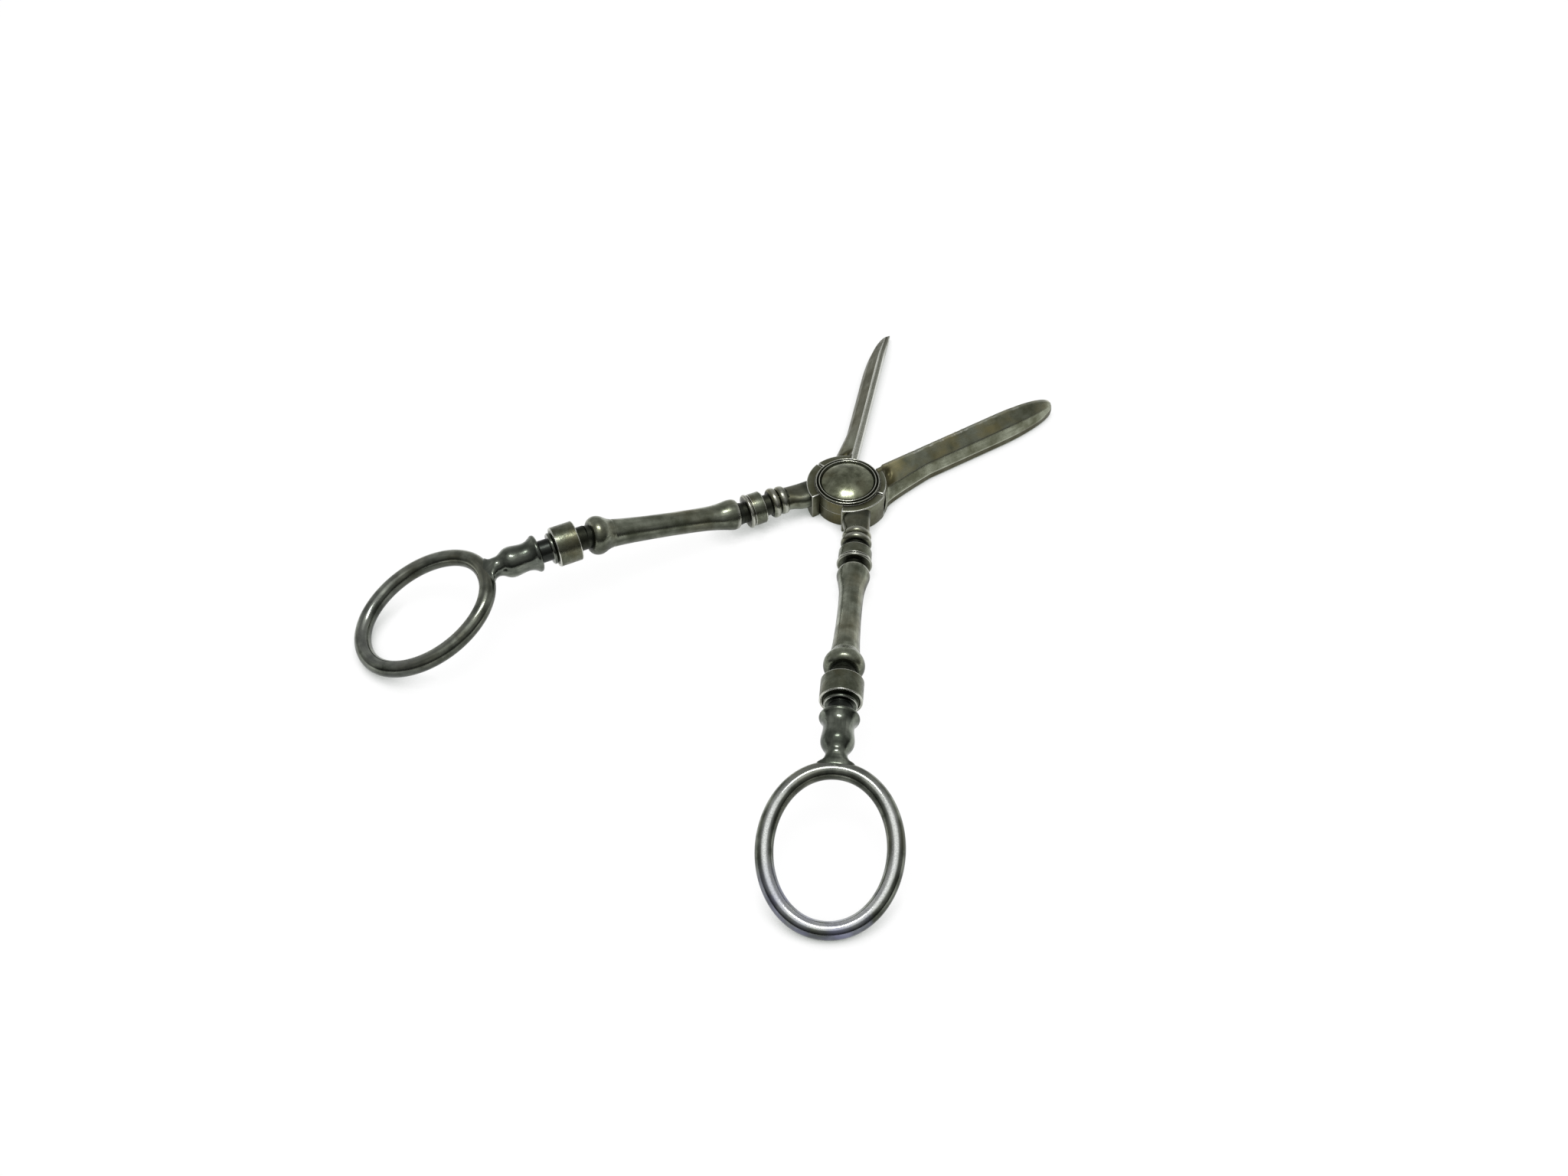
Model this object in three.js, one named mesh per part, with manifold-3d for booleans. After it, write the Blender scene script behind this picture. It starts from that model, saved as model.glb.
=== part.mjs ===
// Grape shears with turned baluster handles and oval finger rings, lying open on a table.
// Millimetres, +Z up. The pivot axis is Z, the table is Z = 0, and the blades point along +Y.
// Each arm is drawn with its blade along +Y and its outer side towards +X, then turned open.

import * as THREE from 'three';
import { mergeVertices } from 'three/addons/utils/BufferGeometryUtils.js';
import Module from 'manifold-3d';

// How far each blade stands from the middle line at rest, in degrees
const openAngle = 23.6;

// Running clearance between pieces that touch or slide
const gap = 0.3;

// How far a cutting solid reaches past what it cuts
const overcut = 1;

// Corners nearer than this are one corner
const weld = 1e-4;

const joint = {
  discRadius: 7.2,
  shoulderOuter: 9.2,
  rootRadius: 8.7,
  height: 6.5,
  discTop: 6.4,
  lapPlane: 3.4,
  // The lap's bridges stay this far inside the walls that they join
  tuck: 0.1,
  // Angles from the arm's outer side, anticlockwise, in degrees
  rootStart: 32.6,
  rootEnd: 88,
  shoulderStart: 196.6,
  shoulderEnd: 268.9,
};

const pivot = {
  pinRadius: 2,
  headRadius: 4,
  headHeight: 1.2,
  tipRadius: 1.4,
  tipTop: 7.4,
  washerOuter: 4.3,
  washerThickness: 0.3,
};

const cap = {
  radius: 7.2,
  bottom: 6.7,
  firstStep: 7,
  secondStep: 7.15,
  stepRise: 0.3,
  domeFoot: 7.3,
  domeRadius: 5.6,
  top: 8.35,
};

const blade = {
  bottom: 0.35,
  edgeTop: 6.8,
  ridgeShare: 0.81,
  ridgeHeight: 4.8,
  outerHeight: 1.6,
  chamfer: 0.1,
  lip: 0.4,
  // The outer edge leaves the joint's circle at this angle and sweeps in to the straight part
  leaveAngle: 46,
  sweepStart: new THREE.Vector2(5.6, 7.5),
  sweepEnd: new THREE.Vector2(4.6, 14),
  width: 3.8,
  straightFrom: 20,
  straightTo: 40,
  // The blades' lips meet at the joint's lap plane up to here, then lower and lower towards the tip
  lapBend: 50,
  tipLap: 1.15,
};

// Half width, length and top height where a blade's edges close in and where they end; the lower
// blade's tip is longer and thinner
const upperTip = {
  drawInFrom: 47,
  close: new THREE.Vector3(2.7, 55.8, 5.8),
  end: new THREE.Vector3(0.2, 57.2, 2.4),
  ridge: 1.7,
  outer: 1.1,
};

const lowerTip = {
  drawInFrom: 46,
  close: new THREE.Vector3(3, 54.5, 4.6),
  end: new THREE.Vector3(0, 58.3, 1),
  ridge: 0.9,
  outer: 0.75,
};

// The handle runs straight in plan, and bends up and then level again seen from the side
const handle = {
  yaw: 6.65,
  offset: 2.95,
  neckHeight: 4.75,
  firstBend: 24.9,
  shaftPitch: 13.8,
  secondBend: 60.2,
  bendLength: 0.8,
  tangStart: 10.4,
  tangRadius: 1.5,
  boreRadius: 1.85,
};

// The neck is a soft-cornered block at the shoulder and round at its end
const neck = {
  start: 6.9,
  end: 13.7,
  innerHalf: 3.5,
  outerHalf: 2.6,
  bottom: 2.2,
  top: 6.5,
  endRadius: 2.4,
  cornerPower: 0.35,
  blockShare: 0.15,
};

// Turned pieces: places along their own stretch of the handle, and radii
const neckBeads = {
  start: 14,
  beadLength: 2,
  innerRadius: 3.2,
  outerRadius: 3.4,
  rootRadius: 2.5,
  hubRadius: 2.35,
  end: 19.3,
};
const smallCollar = {
  start: 19.6,
  drumRadius: 3.6,
  bevel: 0.25,
  lipRadius: 3.85,
  lipLength: 0.8,
  drumEnd: 23.6,
  hubRadius: 2.3,
  end: 24.3,
};
const shaft = {
  start: 1,
  bellEdge: 2.8,
  bellRadius: 3.35,
  bellAt: 2.1,
  narrow: 2.55,
  narrowAt: 10.5,
  wide: 2.72,
  wideAt: 26,
  outerRoot: 3.5,
  outerBead: 4.17,
  outerBeadStart: 32.3,
  outerBeadEnd: 35.3,
  hubRadius: 2.6,
  endClear: 0.9,
};
const largeCollar = {
  start: 0.9,
  hubRadius: 2.6,
  drumStart: 2.2,
  drumEnd: 7.3,
  drumRadius: 4.3,
  rim: 0.15,
};
const stepRing = {
  start: 7.6,
  radius: 3.4,
  length: 0.7,
  rootRadius: 3.15,
  hubRadius: 2.4,
  end: 9.9,
};
const finial = {
  start: 10.2,
  footRadius: 2.45,
  lipAt: 11.3,
  lipHalf: 0.35,
  lipRadius: 3.97,
  waistAt: 13.9,
  waistRadius: 3.02,
  bulbAt: 16.7,
  bulbRadius: 3.3,
  neckAt: 19.8,
  neckRadius: 2.13,
  spreadAt: 21.5,
  spreadRadius: 2.45,
  end: 21.7,
  boreEnd: 17.1,
};

const ring = {
  halfLength: 15,
  halfWidth: 12.25,
  wireRadius: 1.76,
  droop: 20.9,
  centre: 97,
  height: 7.11,
};

// Facets: around turned pieces, arcs, rods, rings and the neck, and along their curves
const segments = {
  turned: 20,
  fullCircle: 60,
  pathCurve: 3,
  rodSteps: 24,
  rodCurve: 4,
  ringWire: 12,
  ringLoop: 44,
  neckAround: 20,
  neckSteps: 6,
  rootArc: 3,
  rootSweep: 7,
  tip: 10,
};

const finish = {
  blade: { color: 0x6b6a5c, roughness: 0.42, metalness: 1 },
  polished: { color: 0x5d6160, roughness: 0.24, metalness: 1 },
  satin: { color: 0x676860, roughness: 0.45, metalness: 1 },
  dark: { color: 0x2d2e2c, roughness: 0.5, metalness: 1 },
};

const wasm = await Module();
wasm.setup();
const radians = THREE.MathUtils.degToRad;

// A geometry with shared corners merged and its faces pointing out
function closed(source) {
  const plain = source.clone();
  plain.deleteAttribute('normal');
  plain.deleteAttribute('uv');
  const geometry = mergeVertices(plain, weld);
  const at = geometry.getAttribute('position');
  const kept = [];
  const old = geometry.getIndex().array;
  for (let i = 0; i < old.length; i += 3) {
    const [a, b, c] = [old[i], old[i + 1], old[i + 2]];
    if (a !== b && b !== c && c !== a) kept.push(a, b, c);
  }
  let volume = 0;
  const corners = [new THREE.Vector3(), new THREE.Vector3(), new THREE.Vector3()];
  for (let i = 0; i < kept.length; i += 3) {
    corners.forEach((corner, k) => corner.fromBufferAttribute(at, kept[i + k]));
    volume += corners[0].dot(corners[1].clone().cross(corners[2]));
  }
  if (volume < 0) kept.reverse();
  geometry.setIndex(kept);
  return geometry;
}

function toSolid(geometry) {
  const shape = closed(geometry);
  const mesh = new wasm.Mesh({
    numProp: 3,
    vertProperties: new Float32Array(shape.getAttribute('position').array),
    triVerts: new Uint32Array(shape.getIndex().array),
  });
  return new wasm.Manifold(mesh);
}

function toGeometry(solid) {
  const mesh = solid.getMesh();
  const geometry = new THREE.BufferGeometry();
  geometry.setAttribute('position', new THREE.BufferAttribute(mesh.vertProperties, 3));
  geometry.setIndex(new THREE.BufferAttribute(mesh.triVerts, 1));
  return geometry;
}

function pieceMesh(name, geometry, look) {
  const mesh = new THREE.Mesh(geometry, new THREE.MeshStandardMaterial(look));
  mesh.geometry.computeVertexNormals();
  mesh.name = name;
  return mesh;
}

// A turned piece: the path holds radius against length, and the length runs along +Y
function turned(path) {
  return closed(new THREE.LatheGeometry(path.getPoints(segments.pathCurve), segments.turned));
}

// A half-round bead on a turned path, between two places along it
function addBead(path, from, to, rootRadius, beadRadius) {
  const middle = (from + to) / 2;
  path.lineTo(rootRadius, from);
  path.absellipse(rootRadius, middle, beadRadius - rootRadius, (to - from) / 2, -Math.PI / 2, Math.PI / 2);
}

// A smooth swell or hollow on a turned path, from its present end to a radius further along
function addSweep(path, radius, at) {
  const from = path.currentPoint;
  const middle = (from.y + at) / 2;
  path.bezierCurveTo(from.x, middle, radius, middle, radius, at);
}

// A sector of a ring about the pivot axis
function sector(innerRadius, outerRadius, fromAngle, toAngle, bottom, top) {
  const [start, end] = [radians(fromAngle), radians(toAngle)];
  const shape = new THREE.Shape();
  shape.absarc(0, 0, outerRadius, start, end, false);
  shape.absarc(0, 0, innerRadius, end, start, true);
  shape.closePath();
  return extrudeUp(shape, bottom, top, (toAngle - fromAngle) / 360);
}

function disc(radius, bottom, top) {
  const shape = new THREE.Shape();
  shape.absarc(0, 0, radius, 0, 2 * Math.PI);
  return extrudeUp(shape, bottom, top, 1);
}

// An arc gets two steps for each curve segment, so half the steps of its share of a full circle
function extrudeUp(shape, bottom, top, circleShare) {
  const curveSegments = Math.ceil((segments.fullCircle * circleShare) / 2);
  const options = { depth: top - bottom, bevelEnabled: false, curveSegments };
  return new THREE.ExtrudeGeometry(shape, options).translate(0, 0, bottom);
}

// A closed skin through rows of points, each row a section with the same number of points
function loft(rows) {
  const count = rows[0].length;
  const points = rows.flat().flatMap((point) => [point.x, point.y, point.z]);
  const faces = [];
  for (let r = 0; r < rows.length - 1; r += 1) {
    for (let c = 0; c < count; c += 1) {
      const [a, b] = [r * count + c, r * count + ((c + 1) % count)];
      faces.push(a, b, b + count, a, b + count, a + count);
    }
  }
  const last = (rows.length - 1) * count;
  for (let c = 1; c < count - 1; c += 1) {
    faces.push(0, c + 1, c, last, last + c, last + c + 1);
  }
  const geometry = new THREE.BufferGeometry();
  geometry.setAttribute('position', new THREE.Float32BufferAttribute(points, 3));
  geometry.setIndex(faces);
  return geometry;
}

// Half width, length and top height along the blade's outer edge, from the joint to the tip
function bladeEdge(tip) {
  const radius = joint.shoulderOuter;
  const [start, leave] = [radians(joint.rootStart), radians(blade.leaveAngle)];
  const rootArc = new THREE.EllipseCurve(0, 0, radius, radius, start, leave);
  const foot = rootArc.getPoint(1);
  const straightStart = new THREE.Vector2(blade.width, blade.straightFrom);
  const sweep = new THREE.CubicBezierCurve(foot, blade.sweepStart, blade.sweepEnd, straightStart);
  const flat = [...rootArc.getPoints(segments.rootArc), ...sweep.getPoints(segments.rootSweep).slice(1)];
  const straightEnd = new THREE.Vector3(blade.width, blade.straightTo, blade.edgeTop);
  const drawIn = straightEnd.clone().setY(tip.drawInFrom);
  const tipCurve = new THREE.CubicBezierCurve3(straightEnd, drawIn, tip.close, tip.end);
  const raised = flat.map((point) => new THREE.Vector3(point.x, point.y, blade.edgeTop));
  return [...raised, ...tipCurve.getPoints(segments.tip)];
}

// The blade: a full-height wedge whose top falls away to a ridge and then steeply to the outer edge
function bladeSolid(side, tip) {
  const rows = bladeEdge(tip).map((edge) => {
    const share = Math.min(edge.x / blade.width, 1);
    const ridge = THREE.MathUtils.lerp(tip.ridge, blade.ridgeHeight, share);
    const outer = THREE.MathUtils.lerp(tip.outer, blade.outerHeight, share);
    return [
      new THREE.Vector3(-blade.lip * side, edge.y, edge.z),
      new THREE.Vector3(edge.x * blade.ridgeShare * side, edge.y, ridge),
      new THREE.Vector3(edge.x * side, edge.y, outer),
      new THREE.Vector3((edge.x - blade.chamfer) * side, edge.y, blade.bottom),
      new THREE.Vector3(-blade.lip * side, edge.y, blade.bottom),
    ];
  });
  return toSolid(loft(rows));
}

// The neck, along the handle's own +Y, wider on the side that faces the other handle
function neckGeometry(side) {
  const { lerp, smoothstep } = THREE.MathUtils;
  const rows = [];
  for (let i = 0; i <= segments.neckSteps; i += 1) {
    const along = i / segments.neckSteps;
    const eased = smoothstep(along, neck.blockShare, 1);
    const inner = lerp(neck.innerHalf, neck.endRadius, eased);
    const outer = lerp(neck.outerHalf, neck.endRadius, eased);
    const bottom = lerp(neck.bottom, handle.neckHeight - neck.endRadius, eased);
    const top = lerp(neck.top, handle.neckHeight + neck.endRadius, eased);
    const power = lerp(neck.cornerPower, 1, eased);
    const row = [];
    for (let k = 0; k < segments.neckAround; k += 1) {
      const angle = (2 * Math.PI * k) / segments.neckAround;
      const across = Math.sign(Math.cos(angle)) * Math.abs(Math.cos(angle)) ** power;
      const up = Math.sign(Math.sin(angle)) * Math.abs(Math.sin(angle)) ** power;
      const x = (side * (outer - inner)) / 2 + (across * (outer + inner)) / 2;
      const z = (top + bottom) / 2 + (up * (top - bottom)) / 2;
      row.push(new THREE.Vector3(x, lerp(neck.start, neck.end, along), z));
    }
    rows.push(row);
  }
  return loft(rows);
}

// Moves a geometry from the handle's own frame, +Y away from the pivot, into the arm's frame
function handlePlacement(side) {
  const turn = new THREE.Matrix4().makeRotationZ(side * radians(180 - handle.yaw));
  return turn.multiply(new THREE.Matrix4().makeTranslation(side * handle.offset, 0, 0));
}

function mirrored(fromAngle, toAngle, side) {
  return side > 0 ? [fromAngle, toAngle] : [180 - toAngle, 180 - fromAngle];
}

// The step along the blade's inner face that lets the other blade's lip pass: drawn from the side
function rebateGeometry(side, isUpper) {
  const [start, end] = [overcut, lowerTip.end.y + overcut];
  const shift = ((isUpper ? 1 : -1) * gap) / 2;
  const away = isUpper ? -overcut : blade.edgeTop + overcut;
  const shape = new THREE.Shape();
  shape.moveTo(start, away);
  shape.lineTo(end, away);
  shape.lineTo(end, blade.tipLap + shift);
  shape.lineTo(blade.lapBend, joint.lapPlane + shift);
  shape.lineTo(start, joint.lapPlane + shift);
  const width = 2 * blade.lip + gap + overcut;
  const [across, along, up] = [[1, 0, 0], [0, 1, 0], [0, 0, 1]].map((axis) => new THREE.Vector3(...axis));
  const cut = new THREE.ExtrudeGeometry(shape, { depth: width, bevelEnabled: false });
  cut.applyMatrix4(new THREE.Matrix4().makeBasis(along, up, across));
  return cut.translate(side * (blade.lip + gap - width / 2) - width / 2, 0, 0);
}

// The hole in the neck's end that holds the tang
function socketGeometry() {
  const start = handle.tangStart - gap;
  const length = neck.end + overcut - start;
  const hole = new THREE.CylinderGeometry(handle.boreRadius, handle.boreRadius, length, segments.turned);
  return hole.translate(0, start + length / 2, handle.neckHeight);
}

// One forging: half-thickness lap disc, full-height shoulder and blade root, neck and blade
function forging(side, isUpper) {
  const lap = isUpper ? [joint.lapPlane + gap / 2, joint.discTop] : [0, joint.lapPlane - gap / 2];
  const root = mirrored(joint.rootStart, joint.rootEnd, side);
  const shoulder = mirrored(joint.shoulderStart, joint.shoulderEnd, side);
  const clear = joint.discRadius + gap;
  const bridge = joint.discRadius - gap;
  const placement = handlePlacement(side);
  const outside = bladeSolid(side, isUpper ? upperTip : lowerTip)
    .add(toSolid(neckGeometry(side).applyMatrix4(placement)))
    .subtract(toSolid(disc(clear, -overcut, blade.edgeTop + overcut)));
  let solid = outside
    .add(toSolid(sector(clear, joint.rootRadius, ...root, 0, joint.height)))
    .add(toSolid(sector(clear, joint.shoulderOuter, ...shoulder, 0, joint.height)))
    .add(toSolid(sector(bridge, joint.rootRadius - joint.tuck, ...root, ...lap)))
    .add(toSolid(sector(bridge, joint.shoulderOuter - joint.tuck, ...shoulder, ...lap)))
    .add(toSolid(disc(joint.discRadius, ...lap)))
    .subtract(toSolid(rebateGeometry(side, isUpper)))
    .subtract(toSolid(socketGeometry().applyMatrix4(placement)))
    .subtract(toSolid(disc(pivot.pinRadius + gap, -overcut, joint.height + overcut)));
  if (!isUpper) {
    const headSeat = disc(pivot.headRadius + gap, -overcut, pivot.headHeight + gap);
    solid = solid.subtract(toSolid(headSeat));
  }
  return toGeometry(solid);
}

// The bent rod inside the handle that carries the turned pieces
function tangGeometry() {
  const start = new THREE.Vector3(0, handle.tangStart, handle.neckHeight);
  const first = new THREE.Vector3(0, handle.firstBend, handle.neckHeight);
  const second = new THREE.Vector3(0, handle.secondBend, gripHeight());
  const end = new THREE.Vector3(0, handle.secondBend + finial.boreEnd - gap, gripHeight());
  const near = (corner, other) => corner.clone().add(other.clone().sub(corner).setLength(handle.bendLength));
  const path = new THREE.CurvePath();
  path.add(new THREE.LineCurve3(start, near(first, start)));
  path.add(new THREE.QuadraticBezierCurve3(near(first, start), first, near(first, second)));
  path.add(new THREE.LineCurve3(near(first, second), near(second, first)));
  path.add(new THREE.QuadraticBezierCurve3(near(second, first), second, near(second, end)));
  path.add(new THREE.LineCurve3(near(second, end), end));
  const section = new THREE.Shape();
  section.absarc(0, 0, handle.tangRadius, 0, 2 * Math.PI);
  const options = { steps: segments.rodSteps, curveSegments: segments.rodCurve, extrudePath: path };
  return closed(new THREE.ExtrudeGeometry(section, options));
}

// Height of the level outer stretch of the handle
function gripHeight() {
  return handle.neckHeight + (handle.secondBend - handle.firstBend) * Math.tan(radians(handle.shaftPitch));
}

function neckBeadsGeometry() {
  const { start, beadLength, innerRadius, outerRadius, rootRadius, hubRadius, end } = neckBeads;
  const path = new THREE.Path();
  path.moveTo(handle.boreRadius, start);
  addBead(path, start, start + beadLength, rootRadius, innerRadius);
  addBead(path, start + beadLength, start + 2 * beadLength, rootRadius, outerRadius);
  path.lineTo(hubRadius, start + 2 * beadLength);
  path.lineTo(hubRadius, end);
  path.lineTo(handle.boreRadius, end);
  path.lineTo(handle.boreRadius, start);
  return turned(path);
}

function smallCollarGeometry() {
  const { start, drumRadius, bevel, lipRadius, lipLength, drumEnd, hubRadius, end } = smallCollar;
  const path = new THREE.Path();
  path.moveTo(handle.boreRadius, start);
  path.lineTo(drumRadius - bevel, start);
  path.lineTo(drumRadius, start + bevel);
  addBead(path, drumEnd - lipLength, drumEnd, drumRadius, lipRadius);
  path.lineTo(hubRadius, drumEnd);
  path.lineTo(hubRadius, end);
  path.lineTo(handle.boreRadius, end);
  path.lineTo(handle.boreRadius, start);
  return turned(path);
}

function shaftGeometry() {
  const s = shaft;
  const hubEnd = shaftLength() - s.endClear;
  const path = new THREE.Path();
  path.moveTo(handle.boreRadius, s.start);
  path.lineTo(s.bellEdge, s.start);
  path.quadraticCurveTo(s.bellRadius, s.start, s.bellRadius, s.bellAt);
  addSweep(path, s.narrow, s.narrowAt);
  addSweep(path, s.wide, s.wideAt);
  path.quadraticCurveTo(s.wide, s.outerBeadStart, s.outerRoot, s.outerBeadStart);
  addBead(path, s.outerBeadStart, s.outerBeadEnd, s.outerRoot, s.outerBead);
  path.lineTo(s.hubRadius, s.outerBeadEnd);
  path.lineTo(s.hubRadius, hubEnd);
  path.lineTo(handle.boreRadius, hubEnd);
  path.lineTo(handle.boreRadius, s.start);
  return turned(path);
}

// Length of the sloping stretch between the two bends
function shaftLength() {
  return (handle.secondBend - handle.firstBend) / Math.cos(radians(handle.shaftPitch));
}

function largeCollarGeometry() {
  const { start, hubRadius, drumStart, drumEnd, drumRadius, rim } = largeCollar;
  const path = new THREE.Path();
  path.moveTo(handle.boreRadius, start);
  path.lineTo(hubRadius, start);
  path.lineTo(hubRadius, drumStart);
  path.lineTo(drumRadius - rim, drumStart);
  path.lineTo(drumRadius, drumStart + rim);
  path.lineTo(drumRadius, drumEnd - rim);
  path.lineTo(drumRadius - rim, drumEnd);
  path.lineTo(handle.boreRadius, drumEnd);
  path.lineTo(handle.boreRadius, start);
  return turned(path);
}

function stepRingGeometry() {
  const { start, radius, length, rootRadius, hubRadius, end } = stepRing;
  const path = new THREE.Path();
  path.moveTo(handle.boreRadius, start);
  addBead(path, start, start + length, rootRadius, radius);
  path.lineTo(hubRadius, start + length);
  path.lineTo(hubRadius, end);
  path.lineTo(handle.boreRadius, end);
  path.lineTo(handle.boreRadius, start);
  return turned(path);
}

// Trumpet lip, waist, bulb and a short neck, with a blind bore for the tang
function finialPath() {
  const f = finial;
  const [lipStart, lipEnd] = [f.lipAt - f.lipHalf, f.lipAt + f.lipHalf];
  const path = new THREE.Path();
  path.moveTo(0, f.boreEnd);
  path.lineTo(handle.boreRadius, f.boreEnd);
  path.lineTo(handle.boreRadius, f.start);
  path.lineTo(f.footRadius, f.start);
  path.quadraticCurveTo(f.footRadius, lipStart, f.lipRadius, lipStart);
  path.lineTo(f.lipRadius, lipEnd);
  path.quadraticCurveTo(f.waistRadius, lipEnd, f.waistRadius, f.waistAt);
  addSweep(path, f.bulbRadius, f.bulbAt);
  addSweep(path, f.neckRadius, f.neckAt);
  addSweep(path, f.spreadRadius, f.spreadAt);
  path.lineTo(f.spreadRadius, f.end);
  path.lineTo(0, f.end);
  return path;
}

// An oval ring of round wire in the XY plane, long axis along Y: a round one drawn out to an ellipse
function ovalRing(wireRadius) {
  const { halfWidth, halfLength } = ring;
  const geometry = new THREE.TorusGeometry(halfWidth, wireRadius, segments.ringWire, segments.ringLoop);
  const at = geometry.getAttribute('position');
  for (let i = 0; i < at.count; i += 1) {
    const angle = Math.atan2(at.getY(i), at.getX(i));
    const reach = Math.hypot(at.getX(i), at.getY(i)) - halfWidth;
    const [c, s] = [Math.cos(angle), Math.sin(angle)];
    const outwards = new THREE.Vector2(c / halfWidth, s / halfLength).setLength(reach);
    at.setXY(i, halfWidth * c + outwards.x, halfLength * s + outwards.y);
  }
  return closed(geometry);
}

// Places of the handle's stretches, each with +Y away from the pivot
function stretches() {
  const level = new THREE.Matrix4().makeTranslation(0, 0, handle.neckHeight);
  const sloping = new THREE.Matrix4().makeTranslation(0, handle.firstBend, handle.neckHeight);
  sloping.multiply(new THREE.Matrix4().makeRotationX(radians(handle.shaftPitch)));
  const grip = new THREE.Matrix4().makeTranslation(0, handle.secondBend, gripHeight());
  const loop = new THREE.Matrix4().makeTranslation(0, ring.centre, ring.height);
  loop.multiply(new THREE.Matrix4().makeRotationX(-radians(ring.droop)));
  return { level, sloping, grip, loop };
}

// The finial's end is hollowed to saddle the ring's wire
function finialGeometry() {
  const { grip, loop } = stretches();
  const wire = ovalRing(ring.wireRadius + gap).applyMatrix4(loop).applyMatrix4(grip.clone().invert());
  return toGeometry(toSolid(turned(finialPath())).subtract(toSolid(wire)));
}

// One arm: a forging that holds the blade, and the handle's pieces on its tang
function arm(name, side, isUpper) {
  const group = new THREE.Group();
  group.rotation.z = -side * radians(openAngle);
  group.add(pieceMesh(`${name}_blade`, forging(side, isUpper), finish.blade));
  const handleGroup = new THREE.Group();
  handleGroup.applyMatrix4(handlePlacement(side));
  group.add(handleGroup);
  const { level, sloping, grip, loop } = stretches();
  const place = (piece, geometry, look, matrix) => {
    const mesh = pieceMesh(`${name}_${piece}`, geometry, look);
    mesh.applyMatrix4(matrix);
    handleGroup.add(mesh);
  };
  place('tang', tangGeometry(), finish.dark, new THREE.Matrix4());
  place('neck_beads', neckBeadsGeometry(), finish.polished, level);
  place('small_collar', smallCollarGeometry(), finish.satin, level);
  place('shaft', shaftGeometry(), finish.polished, sloping);
  place('large_collar', largeCollarGeometry(), finish.satin, grip);
  place('step_ring', stepRingGeometry(), finish.satin, grip);
  place('finial', finialGeometry(), finish.polished, grip);
  place('finger_ring', ovalRing(ring.wireRadius), finish.polished, loop);
  return group;
}

// Pieces turned about the pivot axis: the path holds radius against height
function turnedUpright(path) {
  return turned(path).rotateX(Math.PI / 2);
}

function pinGeometry() {
  const path = new THREE.Path();
  path.moveTo(0, 0);
  path.lineTo(pivot.headRadius, 0);
  path.lineTo(pivot.headRadius, pivot.headHeight);
  path.lineTo(pivot.pinRadius, pivot.headHeight);
  path.lineTo(pivot.pinRadius, joint.discTop);
  path.lineTo(pivot.tipRadius, joint.discTop + gap);
  path.lineTo(pivot.tipRadius, pivot.tipTop);
  path.lineTo(0, pivot.tipTop);
  return turnedUpright(path);
}

// Domed cap with two round steps, hollowed below for the washer and the pin's end
function capGeometry() {
  const holeRadius = pivot.tipRadius + gap;
  const holeTop = pivot.tipTop + gap;
  const recessRadius = pivot.washerOuter + gap;
  const recessTop = cap.bottom + pivot.washerThickness + gap;
  const stepWidth = (cap.radius - cap.domeRadius) / 2;
  const path = new THREE.Path();
  path.moveTo(0, holeTop);
  path.lineTo(holeRadius, holeTop);
  path.lineTo(holeRadius, recessTop);
  path.lineTo(recessRadius, recessTop);
  path.lineTo(recessRadius, cap.bottom);
  path.lineTo(cap.radius, cap.bottom);
  const addStep = (outer, foot) => {
    path.lineTo(outer, foot);
    path.absellipse(outer - stepWidth / 2, foot, stepWidth / 2, cap.stepRise, 0, Math.PI);
  };
  addStep(cap.radius, cap.firstStep);
  addStep(cap.radius - stepWidth, cap.secondStep);
  path.lineTo(cap.domeRadius, cap.domeFoot);
  const rise = cap.top - cap.domeFoot;
  const domeCurve = (cap.domeRadius ** 2 + rise ** 2) / (2 * rise);
  path.absarc(0, cap.top - domeCurve, domeCurve, Math.acos(cap.domeRadius / domeCurve), Math.PI / 2);
  return turnedUpright(path);
}

function washerGeometry() {
  const bottom = joint.discTop + gap;
  const top = bottom + pivot.washerThickness;
  const inner = pivot.tipRadius + gap;
  const path = new THREE.Path();
  path.moveTo(inner, bottom);
  path.lineTo(pivot.washerOuter, bottom);
  path.lineTo(pivot.washerOuter, top);
  path.lineTo(inner, top);
  path.lineTo(inner, bottom);
  return turnedUpright(path);
}

const shears = new THREE.Group();
shears.add(arm('left_arm', 1, true));
shears.add(arm('right_arm', -1, false));
shears.add(pieceMesh('pivot_pin', pinGeometry(), finish.satin));
shears.add(pieceMesh('spring_washer', washerGeometry(), finish.dark));
shears.add(pieceMesh('domed_cap', capGeometry(), finish.satin));

export default shears;
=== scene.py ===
import random
from math import asin, atan2, copysign, cos, exp, hypot, log, pi, radians, sin, tan

import bmesh
import bpy
from mathutils import Matrix, Vector


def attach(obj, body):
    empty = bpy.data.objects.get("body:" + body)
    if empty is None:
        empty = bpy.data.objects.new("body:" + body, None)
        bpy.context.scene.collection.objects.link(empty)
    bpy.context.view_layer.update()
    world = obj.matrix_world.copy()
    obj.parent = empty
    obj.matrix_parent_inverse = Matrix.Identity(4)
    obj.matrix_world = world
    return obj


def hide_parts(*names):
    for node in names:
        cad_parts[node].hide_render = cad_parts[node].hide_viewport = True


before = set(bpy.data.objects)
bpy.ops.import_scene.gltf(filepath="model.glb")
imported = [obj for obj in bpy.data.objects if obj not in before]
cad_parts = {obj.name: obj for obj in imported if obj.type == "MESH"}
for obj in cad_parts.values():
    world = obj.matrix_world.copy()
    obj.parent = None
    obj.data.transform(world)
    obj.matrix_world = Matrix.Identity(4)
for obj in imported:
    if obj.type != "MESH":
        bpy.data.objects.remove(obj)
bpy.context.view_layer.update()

mm = 0.001
scene = bpy.context.scene


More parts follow.
